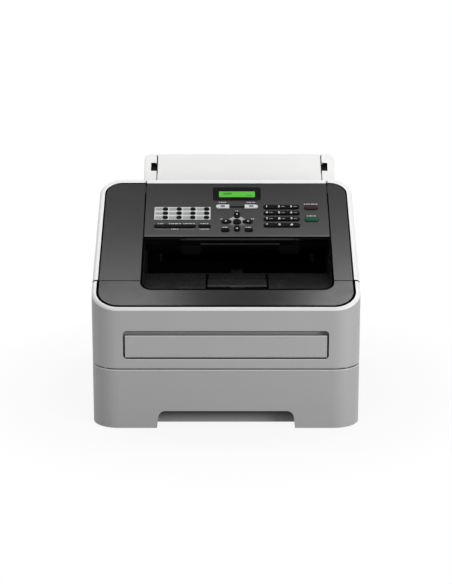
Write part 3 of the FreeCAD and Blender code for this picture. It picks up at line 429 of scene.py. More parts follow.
def panel_skin_zone(tree):
    # Upper face of the panel
    return above(tree, deck_height(tree), PANEL_SKIN_FOOT)


def panel_sheen_zone(tree):
    # The panel's gloss grows towards its front edge, most of all in the middle
    out = away(tree, coordinate(tree, "X"), PANEL_MIDDLE)
    towards_front = ramp(tree, deck_run(tree), SHEEN_RUN)
    return both(tree, towards_front, ramp(tree, out, SHEEN_OUT, 1.0, SHEEN_AT_SIDES))


def panel_brink_zone(tree):
    # Painted highlight along the front edge of the panel's top
    return both(tree, below(tree, deck_run(tree), BRINK_RUN), above(tree, deck_height(tree), BRINK_FOOT))


def panel_front_zone(tree):
    # Front face of the panel in the shade of its top edge
    face = below(tree, deck_run(tree), PANEL_FACE_RUN)
    return both(tree, face, inside(tree, deck_height(tree), PANEL_FACE_RISE))


def panel_lip_zone(tree):
    # Painted highlight along the lower edge of the panel's front face
    face = below(tree, deck_run(tree), PANEL_FACE_RUN)
    edge = both(tree, face, inside(tree, deck_height(tree), PANEL_LIP_RISE))
    return both(tree, edge, below(tree, away(tree, coordinate(tree, "X"), CHUTE_MIDDLE), PANEL_LIP_HALF))


def panel_ridge_zone(tree):
    # Painted highlight on the ridge under the panel, which the sheets run along
    run = inside(tree, deck_run(tree), RIDGE_RUN)
    ridge = both(tree, run, inside(tree, deck_height(tree), RIDGE_RISE))
    return both(tree, ridge, below(tree, away(tree, coordinate(tree, "X"), CHUTE_MIDDLE), RIDGE_HALF))


# Printed fields of the control panel
PLATE_SIDES = (-0.1030, -0.0222)
PLATE_RUN = (0.2036, 0.2342)
LABEL_COLUMN_PITCH = 0.0198
LABEL_COLUMN = (0.0012, 0.0112)
LABEL_ROW_START = 0.203175
LABEL_ROW_PITCH = 0.01025
LABEL_ROW = (0.0016, 0.0087)
PAD_RUN = 0.198
PAD_SLANT = 1.05
PAD_HALF = 0.0185
PAD_FADE_RUN = (0.188, 0.206)
PAD_FAINTEST = 0.05
MODE_LINE_SIDES = (0.0046, 0.0270)
MODE_LINE_RUN = (0.2330, 0.2364)


def one_touch_zone(tree):
    # Plate round the one-touch keys
    across = inside(tree, coordinate(tree, "X"), PLATE_SIDES)
    patch = both(tree, across, inside(tree, deck_run(tree), PLATE_RUN))
    return both(tree, patch, panel_skin_zone(tree))


def label_zone(tree):
    # Label fields of the one-touch plate, left of each key
    columns = repeated(tree, coordinate(tree, "X"), PLATE_SIDES[0], LABEL_COLUMN_PITCH)
    rows = repeated(tree, deck_run(tree), LABEL_ROW_START, LABEL_ROW_PITCH)
    field = both(tree, inside(tree, columns, LABEL_COLUMN), inside(tree, rows, LABEL_ROW))
    return both(tree, field, one_touch_zone(tree))


def pad_zone(tree):
    # Printed diamond behind the arrow keys; its fade into the panel at the lower end is a painted reflection
    out = away(tree, coordinate(tree, "X"), PANEL_MIDDLE)
    up = calc(tree, "MULTIPLY", away(tree, deck_run(tree), PAD_RUN), PAD_SLANT)
    diamond = below(tree, calc(tree, "ADD", out, up), PAD_HALF)
    fading = ramp(tree, deck_run(tree), PAD_FADE_RUN, PAD_FAINTEST)
    return both(tree, both(tree, diamond, panel_skin_zone(tree)), fading)


def mode_line_zone(tree):
    # Dark line that joins the two mode keys
    across = inside(tree, coordinate(tree, "X"), MODE_LINE_SIDES)
    return both(tree, both(tree, across, inside(tree, deck_run(tree), MODE_LINE_RUN)), panel_skin_zone(tree))


# Zones of the output well, its flap and the document chute over it
WELL_BRIM = -0.0012
PAPER_SLOT = 0.0072
FLAP_GAP_OUT = (0.0400, 0.0438)
FLAP_GAP_BACK = -0.0498
FLAP_END = 0.0410
CHUTE_TOP = -0.0030
LIP_RUN = 0.1630
LIP_LINE_HALF = 0.0560
LIP_LINE_RISE = (-0.0138, -0.0110)
LIP_LINE_RUN = (0.1592, 0.1640)
LUG_OUT = (0.0555, 0.0845)
LUG_RUN = 0.15805


def well_edge_zone(tree):
    # Cut edges in the shade: the tops of the well's walls, the paper slot and the gaps beside the flap
    y = coordinate(tree, "Y")
    edges = either(tree, above(tree, deck_height(tree), WELL_BRIM), above(tree, y, PAPER_SLOT))
    gaps = inside(tree, away(tree, coordinate(tree, "X"), FLAP_MIDDLE), FLAP_GAP_OUT)
    return either(tree, edges, both(tree, gaps, below(tree, y, FLAP_GAP_BACK)))


def flap_edge_zone(tree):
    # Ends and pins of the flap, painted near-black as shade in the gaps beside it
    return above(tree, away(tree, coordinate(tree, "X"), FLAP_MIDDLE), FLAP_END)


def chute_zone(tree):
    # Lower document chute, below the dark top
    return below(tree, deck_height(tree), CHUTE_TOP)


def lip_shade_zone(tree):
    # Front edge of the chute, painted near-black as shade under the panel
    return both(tree, below(tree, deck_run(tree), LIP_RUN), chute_zone(tree))


def lip_line_zone(tree):
    # Painted highlight along the top edge of the chute's lip between the lugs
    level = inside(tree, deck_height(tree), LIP_LINE_RISE)
    edge = both(tree, level, inside(tree, deck_run(tree), LIP_LINE_RUN))
    return both(tree, edge, below(tree, away(tree, coordinate(tree, "X"), CHUTE_MIDDLE), LIP_LINE_HALF))


def lug_zone(tree):
    # The two lugs that hang from the front of the chute
    across = inside(tree, away(tree, coordinate(tree, "X"), CHUTE_MIDDLE), LUG_OUT)
    return both(tree, both(tree, below(tree, deck_run(tree), LUG_RUN), chute_zone(tree)), across)


# Zones of the rear wall, the rear cover and the paper tray
REAR_WALL = 0.1774
REAR_SHELF_RISE = 0.1874
REAR_SHELF_FRONT = 0.1024
REAR_COVER_INNER = 0.1776
GRIP_HALF = 0.0985
GRIP_DEPTH = (-0.1785, -0.1540)
GRIP_TOP = 0.0262
GRIP_SHADE_RISE = (0.0020, 0.0145)
TRAY_EDGE = 0.0837


def rear_wall_zone(tree):
    # Outer faces of the frame: its rear wall, and the shelf under the document rest
    y = coordinate(tree, "Y")
    high = above(tree, coordinate(tree, "Z"), REAR_SHELF_RISE)
    shelf = both(tree, high, above(tree, y, REAR_SHELF_FRONT))
    return either(tree, above(tree, y, REAR_WALL), shelf)


def rear_inner_zone(tree):
    # Inner face of the rear cover, beside the paper path
    return below(tree, coordinate(tree, "Y"), REAR_COVER_INNER)


def grip_recess_zone(tree):
    # Painted shade in the handle recess under the tray front, darker towards its top
    z = coordinate(tree, "Z")
    across = below(tree, away(tree, coordinate(tree, "X")), GRIP_HALF)
    recess = both(tree, across, inside(tree, coordinate(tree, "Y"), GRIP_DEPTH))
    return both(tree, both(tree, recess, below(tree, z, GRIP_TOP)), ramp(tree, z, GRIP_SHADE_RISE))


def tray_edge_zone(tree):
    # Painted highlight along the upper edge of the tray front
    return above(tree, coordinate(tree, "Z"), TRAY_EDGE)


# Zones of the document rest and of the cartridge
SLOT_OUT = (0.1205, 0.1236)
SLOT_FLOOR = -0.0055
WINDOW_OUT = (0.1206, 0.1325)
WINDOW_RUN = (0.0398, 0.0572)
WINDOW_RISE = (-0.0055, -0.0003)
DRUM_FRONT = 0.0095
DRUM_TOP = 0.1210
DRUM_SIDES = (-0.1072, 0.1382)
CARTRIDGE_GRIP = -0.11805


def rest_slot_zone(tree):
    # Slide gaps of the document rest, painted near-black as shade
    gaps = inside(tree, away(tree, coordinate(tree, "X"), REST_MIDDLE), SLOT_OUT)
    return both(tree, gaps, above(tree, along(tree, REST_NORMAL, REST_FRONT), SLOT_FLOOR))


def rest_window_zone(tree):
    # The two catch windows beside the slide gaps, painted dark inside as shade
    across = inside(tree, away(tree, coordinate(tree, "X"), REST_MIDDLE), WINDOW_OUT)
    window = both(tree, across, inside(tree, along(tree, REST_UP, REST_FRONT), WINDOW_RUN))
    return both(tree, window, inside(tree, along(tree, REST_NORMAL, REST_FRONT), WINDOW_RISE))


def drum_zone(tree):
    # Coated drum that shows at the back of the cartridge
    back = above(tree, coordinate(tree, "Y"), DRUM_FRONT)
    corner = both(tree, back, below(tree, coordinate(tree, "Z"), DRUM_TOP))
    return both(tree, corner, inside(tree, coordinate(tree, "X"), DRUM_SIDES))


def cartridge_grip_zone(tree):
    # Coloured grip at the front of the cartridge
    return below(tree, coordinate(tree, "Y"), CARTRIDGE_GRIP)


# Colours of the mouldings, of the shade and highlights painted on them, and of what is printed on them
GREY = (0.392, 0.396, 0.392)
# The tray front: the covers' grey painted a little darker, as shade towards the bottom
TRAY_SHADED_GREY = (0.368, 0.372, 0.368)
WHITE = (0.80, 0.80, 0.79)
REST_WHITE = (0.76, 0.76, 0.75)
SUPPORT_WHITE = (0.735, 0.735, 0.73)
DARK = (0.0112, 0.0115, 0.0120)
BLACK = (0.0100, 0.0100, 0.0104)
FLAP_BLACK = (0.014, 0.014, 0.0145)
LUG_BLACK = (0.0060, 0.0060, 0.0062)
TONER_BLACK = (0.014, 0.014, 0.015)
# Near-black of the painted shade in gaps, grooves and cut faces, and of the printed mode line
GAP_SHADE_AND_INK = (0.0020, 0.0020, 0.0022)
INSIDE = (0.005, 0.005, 0.0055)
# Grey of the painted shade in the recesses
RECESS = (0.020, 0.020, 0.020)
WINDOW = (0.004, 0.004, 0.0042)
# Painted highlights: along edges, on the chute's lip and the panel's lower edge, on the panel's front brink
# and on the ridge under it
EDGE_HIGHLIGHT_GREY = (0.53, 0.535, 0.53)
LIP_HIGHLIGHT_GREY = (0.050, 0.050, 0.052)
BRINK_HIGHLIGHT_GREY = (0.040, 0.040, 0.042)
RIDGE_HIGHLIGHT_GREY = (0.120, 0.120, 0.122)
SILVER = (0.56, 0.565, 0.575)
LABEL = (0.25, 0.254, 0.265)
PAD = (0.34, 0.345, 0.355)
DRUM = (0.020, 0.150, 0.170)
GRIP_BLUE = (0.030, 0.100, 0.220)

# Plastics, painted shade and painted highlights as layers: colour, roughness and shine
GREY_PLASTIC = (GREY, 0.48, 0.5)
TRAY_SHADED_PLASTIC = (TRAY_SHADED_GREY, 0.48, 0.5)
RIM_PLASTIC = (WHITE, 0.42, 0.5)
REST_PLASTIC = (REST_WHITE, 0.42, 0.5)
STRIP_PLASTIC = (DARK, 0.19, 0.11)
TOP_PLASTIC = (DARK, 0.24, 0.14)
CHUTE_PLASTIC = (BLACK, 0.24, 0.14)
LUG_PLASTIC = (LUG_BLACK, 0.18, 0.04)
PANEL_PLASTIC = (DARK, 0.30, 0.12)
PANEL_SHEEN = (DARK, 0.30, 0.27)
# Painted highlight on the panel's front brink
PANEL_BRINK_HIGHLIGHT = (BRINK_HIGHLIGHT_GREY, 0.30, 0.27)
WELL_PLASTIC = (BLACK, 0.26, 0.5)
FLAP_PLASTIC = (FLAP_BLACK, 0.26, 0.5)
FRAME_PLASTIC = (INSIDE, 0.55, 0.1)
TONER_PLASTIC = (TONER_BLACK, 0.5, 0.5)
DRUM_COAT = (DRUM, 0.18, 0.5)
GRIP_PLASTIC = (GRIP_BLUE, 0.45, 0.5)
# Painted shade in gaps and recesses, and painted highlights on edges, the chute's lip and the ridge under the
# panel
GAP_SHADE = (GAP_SHADE_AND_INK, 0.6, 0.0)
RECESS_SHADE = (RECESS, 0.55, 0.5)
WINDOW_SHADE = (WINDOW, 0.5, 0.05)
EDGE_HIGHLIGHT = (EDGE_HIGHLIGHT_GREY, 0.40, 0.5)
LIP_HIGHLIGHT = (LIP_HIGHLIGHT_GREY, 0.3, 0.3)
RIDGE_HIGHLIGHT = (RIDGE_HIGHLIGHT_GREY, 0.3, 0.5)
PLATE_PAINT = (SILVER, 0.36, 0.5)
LABEL_PAPER = (LABEL, 0.42, 0.5)
PAD_PAINT = (PAD, 0.36, 0.12)
LINE_PAINT = (GAP_SHADE_AND_INK, 0.4, 0.0)

# Finishes of the mouldings in several colours
side_skin = zoned("side_cover_plastic", GREY_PLASTIC, [
    (RIM_PLASTIC, rim_zone), (GAP_SHADE, side_seam_zone)])
front_skin = zoned("front_cover_plastic", GREY_PLASTIC, [
    (RIM_PLASTIC, rim_zone), (GAP_SHADE, front_groove_zone), (RECESS_SHADE, feed_shade_zone),
    (GAP_SHADE, feed_gap_zone), (EDGE_HIGHLIGHT, feed_sill_zone), (STRIP_PLASTIC, front_strip_zone)])
tray_skin = zoned("tray_plastic", TRAY_SHADED_PLASTIC, [
    (RECESS_SHADE, grip_recess_zone), (EDGE_HIGHLIGHT, tray_edge_zone)])
rear_skin = zoned("rear_cover_plastic", GREY_PLASTIC, [(FRAME_PLASTIC, rear_inner_zone)])
feed_skin = zoned("feed_flap_plastic", GREY_PLASTIC, [
    (EDGE_HIGHLIGHT, feed_highlight_zone), (GAP_SHADE, feed_edge_zone)])
top_skin = zoned("top_cover_plastic", TOP_PLASTIC, [
    (CHUTE_PLASTIC, chute_zone), (GAP_SHADE, lip_shade_zone), (LIP_HIGHLIGHT, lip_line_zone),
    (LUG_PLASTIC, lug_zone), (GAP_SHADE, strip_edge_zone)])
panel_skin = zoned("panel_plastic", PANEL_PLASTIC, [
    (PANEL_SHEEN, panel_sheen_zone), (PANEL_BRINK_HIGHLIGHT, panel_brink_zone), (GAP_SHADE, panel_front_zone),
    (LIP_HIGHLIGHT, panel_lip_zone), (RIDGE_HIGHLIGHT, panel_ridge_zone), (GAP_SHADE, panel_groove_zone),
    (RIM_PLASTIC, panel_rim_zone), (PLATE_PAINT, one_touch_zone), (LABEL_PAPER, label_zone),
    (PAD_PAINT, pad_zone), (LINE_PAINT, mode_line_zone)])
well_skin = zoned("well_plastic", WELL_PLASTIC, [(GAP_SHADE, well_edge_zone)], SMOOTH_GRAIN)
flap_skin = zoned("flap_plastic", FLAP_PLASTIC, [(GAP_SHADE, flap_edge_zone)], SMOOTH_GRAIN)
frame_skin = zoned("frame_plastic", FRAME_PLASTIC, [(GREY_PLASTIC, rear_wall_zone)])
rest_skin = zoned("rest_plastic", REST_PLASTIC, [
    (WINDOW_SHADE, rest_window_zone), (GAP_SHADE, rest_slot_zone)])
toner_skin = zoned("toner_plastic", TONER_PLASTIC, [
    (DRUM_COAT, drum_zone), (GRIP_PLASTIC, cartridge_grip_zone)])

# Finishes in one colour
support_skin = plastic("support_plastic", SUPPORT_WHITE, rough=0.42)
key_skin = plastic("key_plastic", (0.0030, 0.0030, 0.0033), rough=0.24, grain=SMOOTH_GRAIN, shine=0.03)
silver_skin = plastic("silver_paint", SILVER, rough=0.30, grain=PAINT_GRAIN)
red_skin = plastic("stop_key_plastic", (0.034, 0.008, 0.011), rough=0.26, grain=SMOOTH_GRAIN, shine=0.05)
green_skin = plastic("start_key_plastic", (0.003, 0.062, 0.031), rough=0.26, grain=SMOOTH_GRAIN, shine=0.05)
rubber_skin = plastic("black_rubber", (0.010, 0.010, 0.010), rough=0.7, grain=RUBBER_GRAIN)
silicone_skin = plastic("silicone_sleeve", (0.16, 0.025, 0.015), rough=0.45, grain=PAINT_GRAIN)
bezel_skin = plastic("display_bezel", (0.0026, 0.0023, 0.0036), rough=0.30, grain=NO_GRAIN, shine=0.02)
print_skin = plastic("key_print", (0.80, 0.80, 0.80), rough=0.5, grain=NO_GRAIN)
legend_skin = plastic("legend_print", (0.50, 0.50, 0.50), rough=0.5, grain=NO_GRAIN)
faint_skin = plastic("small_print", (0.22, 0.22, 0.22), rough=0.5, grain=NO_GRAIN)
mark_skin = plastic("mode_print", (0.035, 0.034, 0.042), rough=0.5, grain=NO_GRAIN)
base_skin = plastic("underside_plastic", (0.012, 0.012, 0.013), rough=0.5)
glass_skin = plastic("scan_glass", (0.020, 0.024, 0.022), rough=0.05, grain=NO_GRAIN, spread=0.05)
ink_skin = plastic("screen_ink", (0.006, 0.030, 0.005), rough=0.5, grain=NO_GRAIN, shine=0.1)
steel_skin = metal("plated_sheet", (0.58, 0.59, 0.60), spread=0.06, smooth=0.28, rough=0.42, marks=140.0,
                   grain=900.0)
screw_skin = metal("screw_steel", (0.10, 0.10, 0.105), spread=0.10, smooth=0.30, rough=0.45, marks=500.0)
pin_skin = metal("pin_steel", (0.62, 0.60, 0.55), spread=0.04, smooth=0.20, rough=0.30, marks=300.0)
gold_skin = metal("contact_gold", (0.78, 0.56, 0.20), spread=0.04, smooth=0.18, rough=0.28, marks=300.0)

# Lit screen: a faint dot grid over a bright green ground
DOT_PITCH = 0.0006
DOT_GAP = 0.00005
screen_skin, screen_tree, screen_shader = new_finish("lit_screen")
grid = screen_tree.nodes.new("ShaderNodeTexBrick")
grid.offset = 0.0
grid.inputs["Scale"].default_value = 1.0
grid.inputs["Brick Width"].default_value = DOT_PITCH
grid.inputs["Row Height"].default_value = DOT_PITCH
grid.inputs["Mortar Size"].default_value = DOT_GAP
grid.inputs["Color1"].default_value = (0.105, 0.56, 0.042, 1.0)
grid.inputs["Color2"].default_value = (0.112, 0.58, 0.045, 1.0)
grid.inputs["Mortar"].default_value = (0.085, 0.47, 0.034, 1.0)
screen_tree.links.new(place(screen_tree), grid.inputs["Vector"])
screen_tree.links.new(grid.outputs["Color"], screen_shader.inputs["Emission Color"])
screen_shader.inputs["Emission Strength"].default_value = 0.82
screen_shader.inputs["Base Color"].default_value = (0.010, 0.050, 0.006, 1.0)
screen_shader.inputs["Specular IOR Level"].default_value = 0.05
screen_shader.inputs["Roughness"].default_value = 0.25

# Which finish each moulding takes; the keys that aren't named are black
finishes = {
    "left_side_cover": side_skin, "right_side_cover": side_skin, "front_cover": front_skin,
    "top_cover": top_skin, "manual_feed_cover": feed_skin, "paper_tray": tray_skin,
    "rear_cover": rear_skin, "output_tray": well_skin, "output_flap": flap_skin,
    "control_panel": panel_skin, "panel_base": base_skin, "chassis": frame_skin,
    "document_rest": rest_skin, "document_support": support_skin, "toner_cartridge": toner_skin,
    "lift_plate": steel_skin, "rubber_feet": rubber_skin, "case_screws": screw_skin,
    "scan_roller": rubber_skin, "pressure_roller": silicone_skin, "display_window": bezel_skin,
    "fax_mode_key": silver_skin, "copy_mode_key": silver_skin, "stop_key": red_skin, "start_key": green_skin,
}
for name, node in nodes.items():
    finish = finishes.get(name, key_skin)
    if not node.material_slots:
        node.data.materials.append(finish)
    for holder in node.material_slots:
        holder.material = finish

# Sizes in drawings on the sloping top: upper face of the keys, thickness of print and half that of lettering
KEY_TOP = 1.6
PRINT = 0.03
LETTERING = 0.02

# Settings of the meshes
SHARP_ANGLE = math.radians(35)
CORNER_STEPS = 6
EDGE_STEPS = 3
TOLERANCE = 1e-6
MERGE_DISTANCE = 1e-7
BAR_SHARE = 0.55
LONGER_BAR = 0.25


# Mesh helpers
def add_piece(name, bm, finish, body):
    bmesh.ops.recalc_face_normals(bm, faces=bm.faces)
    mesh = bpy.data.meshes.new(name)
    bm.to_mesh(mesh)
    bm.free()
    mesh.materials.append(finish)
    piece = bpy.data.objects.new(name, mesh)
    bpy.context.scene.collection.objects.link(piece)
    mesh.shade_smooth()
    mesh.set_sharp_from_angle(angle=SHARP_ANGLE)
    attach(piece, body)
    return piece


def block(bm, x, s, n):
    # A box in millimetres of the drawing, from a low and a high value each way
    made = bmesh.ops.create_cube(bm, size=1.0)["verts"]
    bmesh.ops.scale(bm, vec=Vector((x[1] - x[0], s[1] - s[0], n[1] - n[0])) * MM, verts=made)
    bmesh.ops.translate(bm, vec=Vector((x[0] + x[1], s[0] + s[1], n[0] + n[1])) * (MM / 2), verts=made)
    return made


def soften(bm, edges, radius, steps):
    bmesh.ops.bevel(bm, geom=edges, offset=radius * MM, offset_type="OFFSET", affect="EDGES", segments=steps,
                    profile=0.5, material=-1)


def plate(x, s, n, corner, edge):
    # A box with rounded corners and a softened upper edge
    bm = bmesh.new()
    block(bm, x, s, n)
    upright = [e for e in bm.edges if abs(e.verts[0].co.z - e.verts[1].co.z) > TOLERANCE]
    soften(bm, upright, corner, CORNER_STEPS)
    rim = [e for e in bm.edges if all(abs(v.co.z - n[1] * MM) < TOLERANCE for v in e.verts)]
    soften(bm, rim, edge, EDGE_STEPS)
    return bm


def on_deck(bm):
    bmesh.ops.transform(bm, matrix=DECK, verts=bm.verts)
    return bm


def flat_text(words, size, bold):
    # Lettering as a thin mesh lying flat, middle at the origin
    curve = bpy.data.curves.new("lettering", "FONT")
    curve.body = words
    curve.size = size * MM
    curve.align_x = "CENTER"
    curve.align_y = "CENTER"
    curve.extrude = LETTERING * MM
    curve.offset = bold * MM
    holder = bpy.data.objects.new("lettering", curve)
    bpy.context.scene.collection.objects.link(holder)
    bpy.context.view_layer.update()
    mesh = bpy.data.meshes.new_from_object(holder)
    bpy.data.objects.remove(holder)
    bpy.data.curves.remove(curve)
    bm = bmesh.new()
    bm.from_mesh(mesh)
    bpy.data.meshes.remove(mesh)
    bmesh.ops.remove_doubles(bm, verts=bm.verts, dist=MERGE_DISTANCE)
    return bm


def lettered(name, words, size, at, finish, body, bold):
    bm = flat_text(words, size, bold)
    bmesh.ops.translate(bm, vec=Vector(at) * MM, verts=bm.verts)
    return add_piece(name, on_deck(bm), finish, body)


def dashes(bm, x, s, n, width, height, count):
    # A row of short bars that stands for a legend
    step = width / count
    for i in range(count):
        left = x - width / 2 + i * step
        bar = step * (BAR_SHARE + LONGER_BAR * (i % 2))
        block(bm, (left, left + bar), (s - height / 2, s + height / 2), (n, n + PRINT))


# Display: polished bezel, lit screen and a plain clock reading
SCREEN_INK = 0.64
bezel = plate(x=(-18.8, 50.4), s=(250.9, 283.9), n=(-4.0, 0.5), corner=3.5, edge=0.4)
bezel = add_piece("display_bezel", on_deck(bezel), bezel_skin, "control_panel")
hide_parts("display_window")
screen = plate(x=(-10.2, 42.2), s=(258.6, 272.8), n=(0.3, 0.62), corner=1.0, edge=0.1)
add_piece("display_screen", on_deck(screen), screen_skin, "control_panel")
lettered("display_clock", "12:00", size=6.4, at=(1.2, 266.9, SCREEN_INK), finish=ink_skin,
         body="control_panel", bold=0.16)
lettered("display_date", "01/01", size=3.6, at=(34.6, 262.4, SCREEN_INK), finish=ink_skin,
         body="control_panel", bold=0.06)

# Dial numbers at the left of their keys, and from 2 to 9 a short row of dashes where the letters would be
DIAL_MIDDLE = 80.0
DIAL_TOP_ROW = 233.8
DIAL_COLUMN_PITCH = 17.6
DIAL_ROW_PITCH = 14.8
NUMBER_SIZE = 6.0
NUMBER_BOLD = 0.10
NUMBER_SHIFT = -3.6
LETTERS_SHIFT = 2.6
LETTERS_WIDTH = 5.4
LETTERS_HEIGHT = 1.7
dial = "1 2 3 4 5 6 7 8 9 * 0 #".split()
dial_keys = ["digit_%d_key" % d for d in range(1, 10)] + ["star_key", "digit_0_key", "hash_key"]


def dial_place(i):
    x = DIAL_MIDDLE + DIAL_COLUMN_PITCH * (i % 3 - 1)
    s = DIAL_TOP_ROW - DIAL_ROW_PITCH * (i // 3)
    return x, s


for i, key in enumerate(dial_keys):
    x, s = dial_place(i)
    spot = (x + NUMBER_SHIFT, s, KEY_TOP + LETTERING)
    lettered(key + "_number", dial[i], NUMBER_SIZE, spot, print_skin, key, NUMBER_BOLD)
for i in range(1, 9):
    x, s = dial_place(i)
    letters = bmesh.new()
    dashes(letters, x + LETTERS_SHIFT, s, KEY_TOP, LETTERS_WIDTH, LETTERS_HEIGHT, count=3)
    add_piece(dial_keys[i] + "_letters", on_deck(letters), faint_skin, dial_keys[i])

# Legends beside the keys: middle across, middle up the slope, width and number of bars
FAX_MODE_X = -4.9
COPY_MODE_X = 36.5
FUNCTION_ROW = 193.6
FUNCTION_FOOT_ROW = 180.4
MODE_ROW = 246.2
LEGEND_HEIGHT = 2.0
LEGENDS = (
    (-93.0, FUNCTION_ROW, 9.0, 3), (-72.8, FUNCTION_ROW, 18.0, 6), (-52.6, FUNCTION_ROW, 17.0, 6),
    (-30.6, FUNCTION_ROW, 12.0, 4), (-72.8, FUNCTION_FOOT_ROW, 11.0, 4), (-30.6, FUNCTION_FOOT_ROW, 14.0, 5),
    (15.8, 224.6, 4.0, 2), (-6.4, 205.0, 3.6, 2), (38.4, 205.4, 4.6, 2), (-0.9, 184.8, 8.0, 3),
    (32.5, 184.8, 8.0, 3), (123.0, 241.6, 20.0, 6), (123.0, 212.4, 13.0, 4),
    (FAX_MODE_X, MODE_ROW, 11.0, 4), (COPY_MODE_X, MODE_ROW, 13.0, 5))
legends = bmesh.new()
for x, s, width, count in LEGENDS:
    dashes(legends, x, s, 0.0, width, LEGEND_HEIGHT, count)
add_piece("key_legends", on_deck(legends), legend_skin, "control_panel")

# Small print: rules either side of a function legend, and a line in each label field
RULES = ((-101.5, -81.0), (-65.0, -44.5))
RULE_RUN = (180.2, 180.7)
LABEL_ROWS = 3
LABEL_COLUMNS = 4
LABEL_LEFT = -96.8
LABEL_TOP = 228.3
LABEL_WIDTH = 7.4
LABEL_HEIGHT = 1.5
fine = bmesh.new()
for rule in RULES:
    block(fine, rule, RULE_RUN, (0.0, PRINT))
for row in range(LABEL_ROWS):
    for column in range(LABEL_COLUMNS):
        x = LABEL_LEFT + LABEL_COLUMN_PITCH / MM * column
        s = LABEL_TOP - LABEL_ROW_PITCH / MM * row
        dashes(fine, x, s, 0.0, LABEL_WIDTH, LABEL_HEIGHT, count=3)
add_piece("small_legends", on_deck(fine), faint_skin, "control_panel")

# Marks in the middle of the two light mode keys
MARK_HALF = 3.4
MARK_RUN = (232.6, 236.8)
MARK_DEPTH = 0.05
MARK_RISE = (KEY_TOP, KEY_TOP + MARK_DEPTH)
for name, x in (("fax_mode", FAX_MODE_X), ("copy_mode", COPY_MODE_X)):
    mark = plate((x - MARK_HALF, x + MARK_HALF), MARK_RUN, MARK_RISE, corner=1.6, edge=0.02)
    add_piece(name + "_mark", on_deck(mark), mark_skin, name + "_key")

# Arrows on the navigation keys
ARROW_RADIUS = 1.7
ARROW_DEPTH = 0.04
ARROW_ROW = 198.0
ARROW_SIDE = 16.0
UP_ROW = 215.0
DOWN_ROW = 180.6


def arrow(name, x, s, turn, body):
    bm = bmesh.new()
    bmesh.ops.create_cone(bm, cap_ends=True, segments=3, radius1=ARROW_RADIUS * MM, radius2=ARROW_RADIUS * MM,
                          depth=ARROW_DEPTH * MM)
    bmesh.ops.rotate(bm, matrix=Matrix.Rotation(math.radians(turn), 3, "Z"), verts=bm.verts)
    bmesh.ops.translate(bm, vec=Vector((x, s, KEY_TOP + ARROW_DEPTH / 2)) * MM, verts=bm.verts)
    add_piece(name, on_deck(bm), print_skin, body)


arrow("up_arrow", PANEL_CENTRE, UP_ROW, 0.0, "up_key")
arrow("left_arrow", PANEL_CENTRE - ARROW_SIDE, ARROW_ROW, 90.0, "left_key")
arrow("down_arrow", PANEL_CENTRE, DOWN_ROW, 180.0, "down_key")
arrow("right_arrow", PANEL_CENTRE + ARROW_SIDE, ARROW_ROW, 270.0, "right_key")

# Scan glass let into the lower document chute
glass = plate(x=(-95.3, 126.3), s=(243.2, 250.8), n=(-17.9, -17.1), corner=0.4, edge=0.1)
add_piece("scan_glass", on_deck(glass), glass_skin, "body")

# Pins of the power inlet and contacts of the two telephone sockets, in millimetres of the machine's frame
SOCKET_BACK = 168.0
SOCKET_MIDDLE = 42.0
POWER_X = -92.0
PIN_PLACES = ((-7.0, -2.0), (0.0, 2.4), (7.0, -2.0))
PIN_HALF_WIDTH = 1.0
PIN_HALF_HEIGHT = 2.0
PIN_END = 177.0
PIN_TIP = 0.6
PHONE_X = (118.0, 136.0)
CONTACT_COUNT = 4
CONTACT_PITCH = 1.1
CONTACT_SIZE = 0.5
CONTACT_END = 176.5
CONTACT_FOOT = 36.2
CONTACT_RISE = (CONTACT_FOOT, CONTACT_FOOT + CONTACT_SIZE)
CONTACT_TILT = math.radians(-25.0)
pins = bmesh.new()
for across, rise in PIN_PLACES:
    x = POWER_X + across
    z = SOCKET_MIDDLE + rise
    sides = (x - PIN_HALF_WIDTH, x + PIN_HALF_WIDTH)
    block(pins, sides, (SOCKET_BACK, PIN_END), (z - PIN_HALF_HEIGHT, z + PIN_HALF_HEIGHT))
tips = [e for e in pins.edges if all(abs(v.co.y - PIN_END * MM) < TOLERANCE for v in e.verts)]
soften(pins, tips, PIN_TIP, EDGE_STEPS)
add_piece("inlet_pins", pins, pin_skin, "body")
contacts = bmesh.new()
for middle in PHONE_X:
    for i in range(CONTACT_COUNT):
        x = middle + CONTACT_PITCH * (i - (CONTACT_COUNT - 1) / 2) - CONTACT_SIZE / 2
        wire = block(contacts, (x, x + CONTACT_SIZE), (SOCKET_BACK, CONTACT_END), CONTACT_RISE)
        bmesh.ops.rotate(contacts, cent=Vector((0.0, CONTACT_END, CONTACT_FOOT)) * MM,
                         matrix=Matrix.Rotation(CONTACT_TILT, 3, "X"), verts=wire)
add_piece("socket_contacts", contacts, gold_skin, "body")

# Camera at the photograph's angle
eye = bpy.data.cameras.new("camera")
eye.sensor_fit = "AUTO"
eye.sensor_width = 36.0
eye.lens = 119.07
camera = bpy.data.objects.new("camera", eye)
camera.location = (0.0, -2.6851, 0.9074)
camera.rotation_euler = (math.radians(74.135), 0.0, 0.0)
bpy.context.scene.collection.objects.link(camera)
bpy.context.scene.camera = camera

# Soft studio light
BODY_MIDDLE = (0.0, 0.0, 0.15)
LEFT_STRIP = (-0.16, -0.15, 0.18)
RIGHT_STRIP = (0.16, -0.15, 0.18)
AMBIENT = 0.325
PURE_WHITE = (1.0, 1.0, 1.0, 1.0)


def softbox(name, at, aim, size, power):
    lamp = bpy.data.lights.new(name, "AREA")
    lamp.shape = "RECTANGLE"
    lamp.size = size[0]
    lamp.size_y = size[1]
    lamp.energy = power
    holder = bpy.data.objects.new(name, lamp)
    holder.location = at
    holder.rotation_euler = (Vector(aim) - Vector(at)).to_track_quat("-Z", "Y").to_euler()
    holder.visible_camera = False
    bpy.context.scene.collection.objects.link(holder)


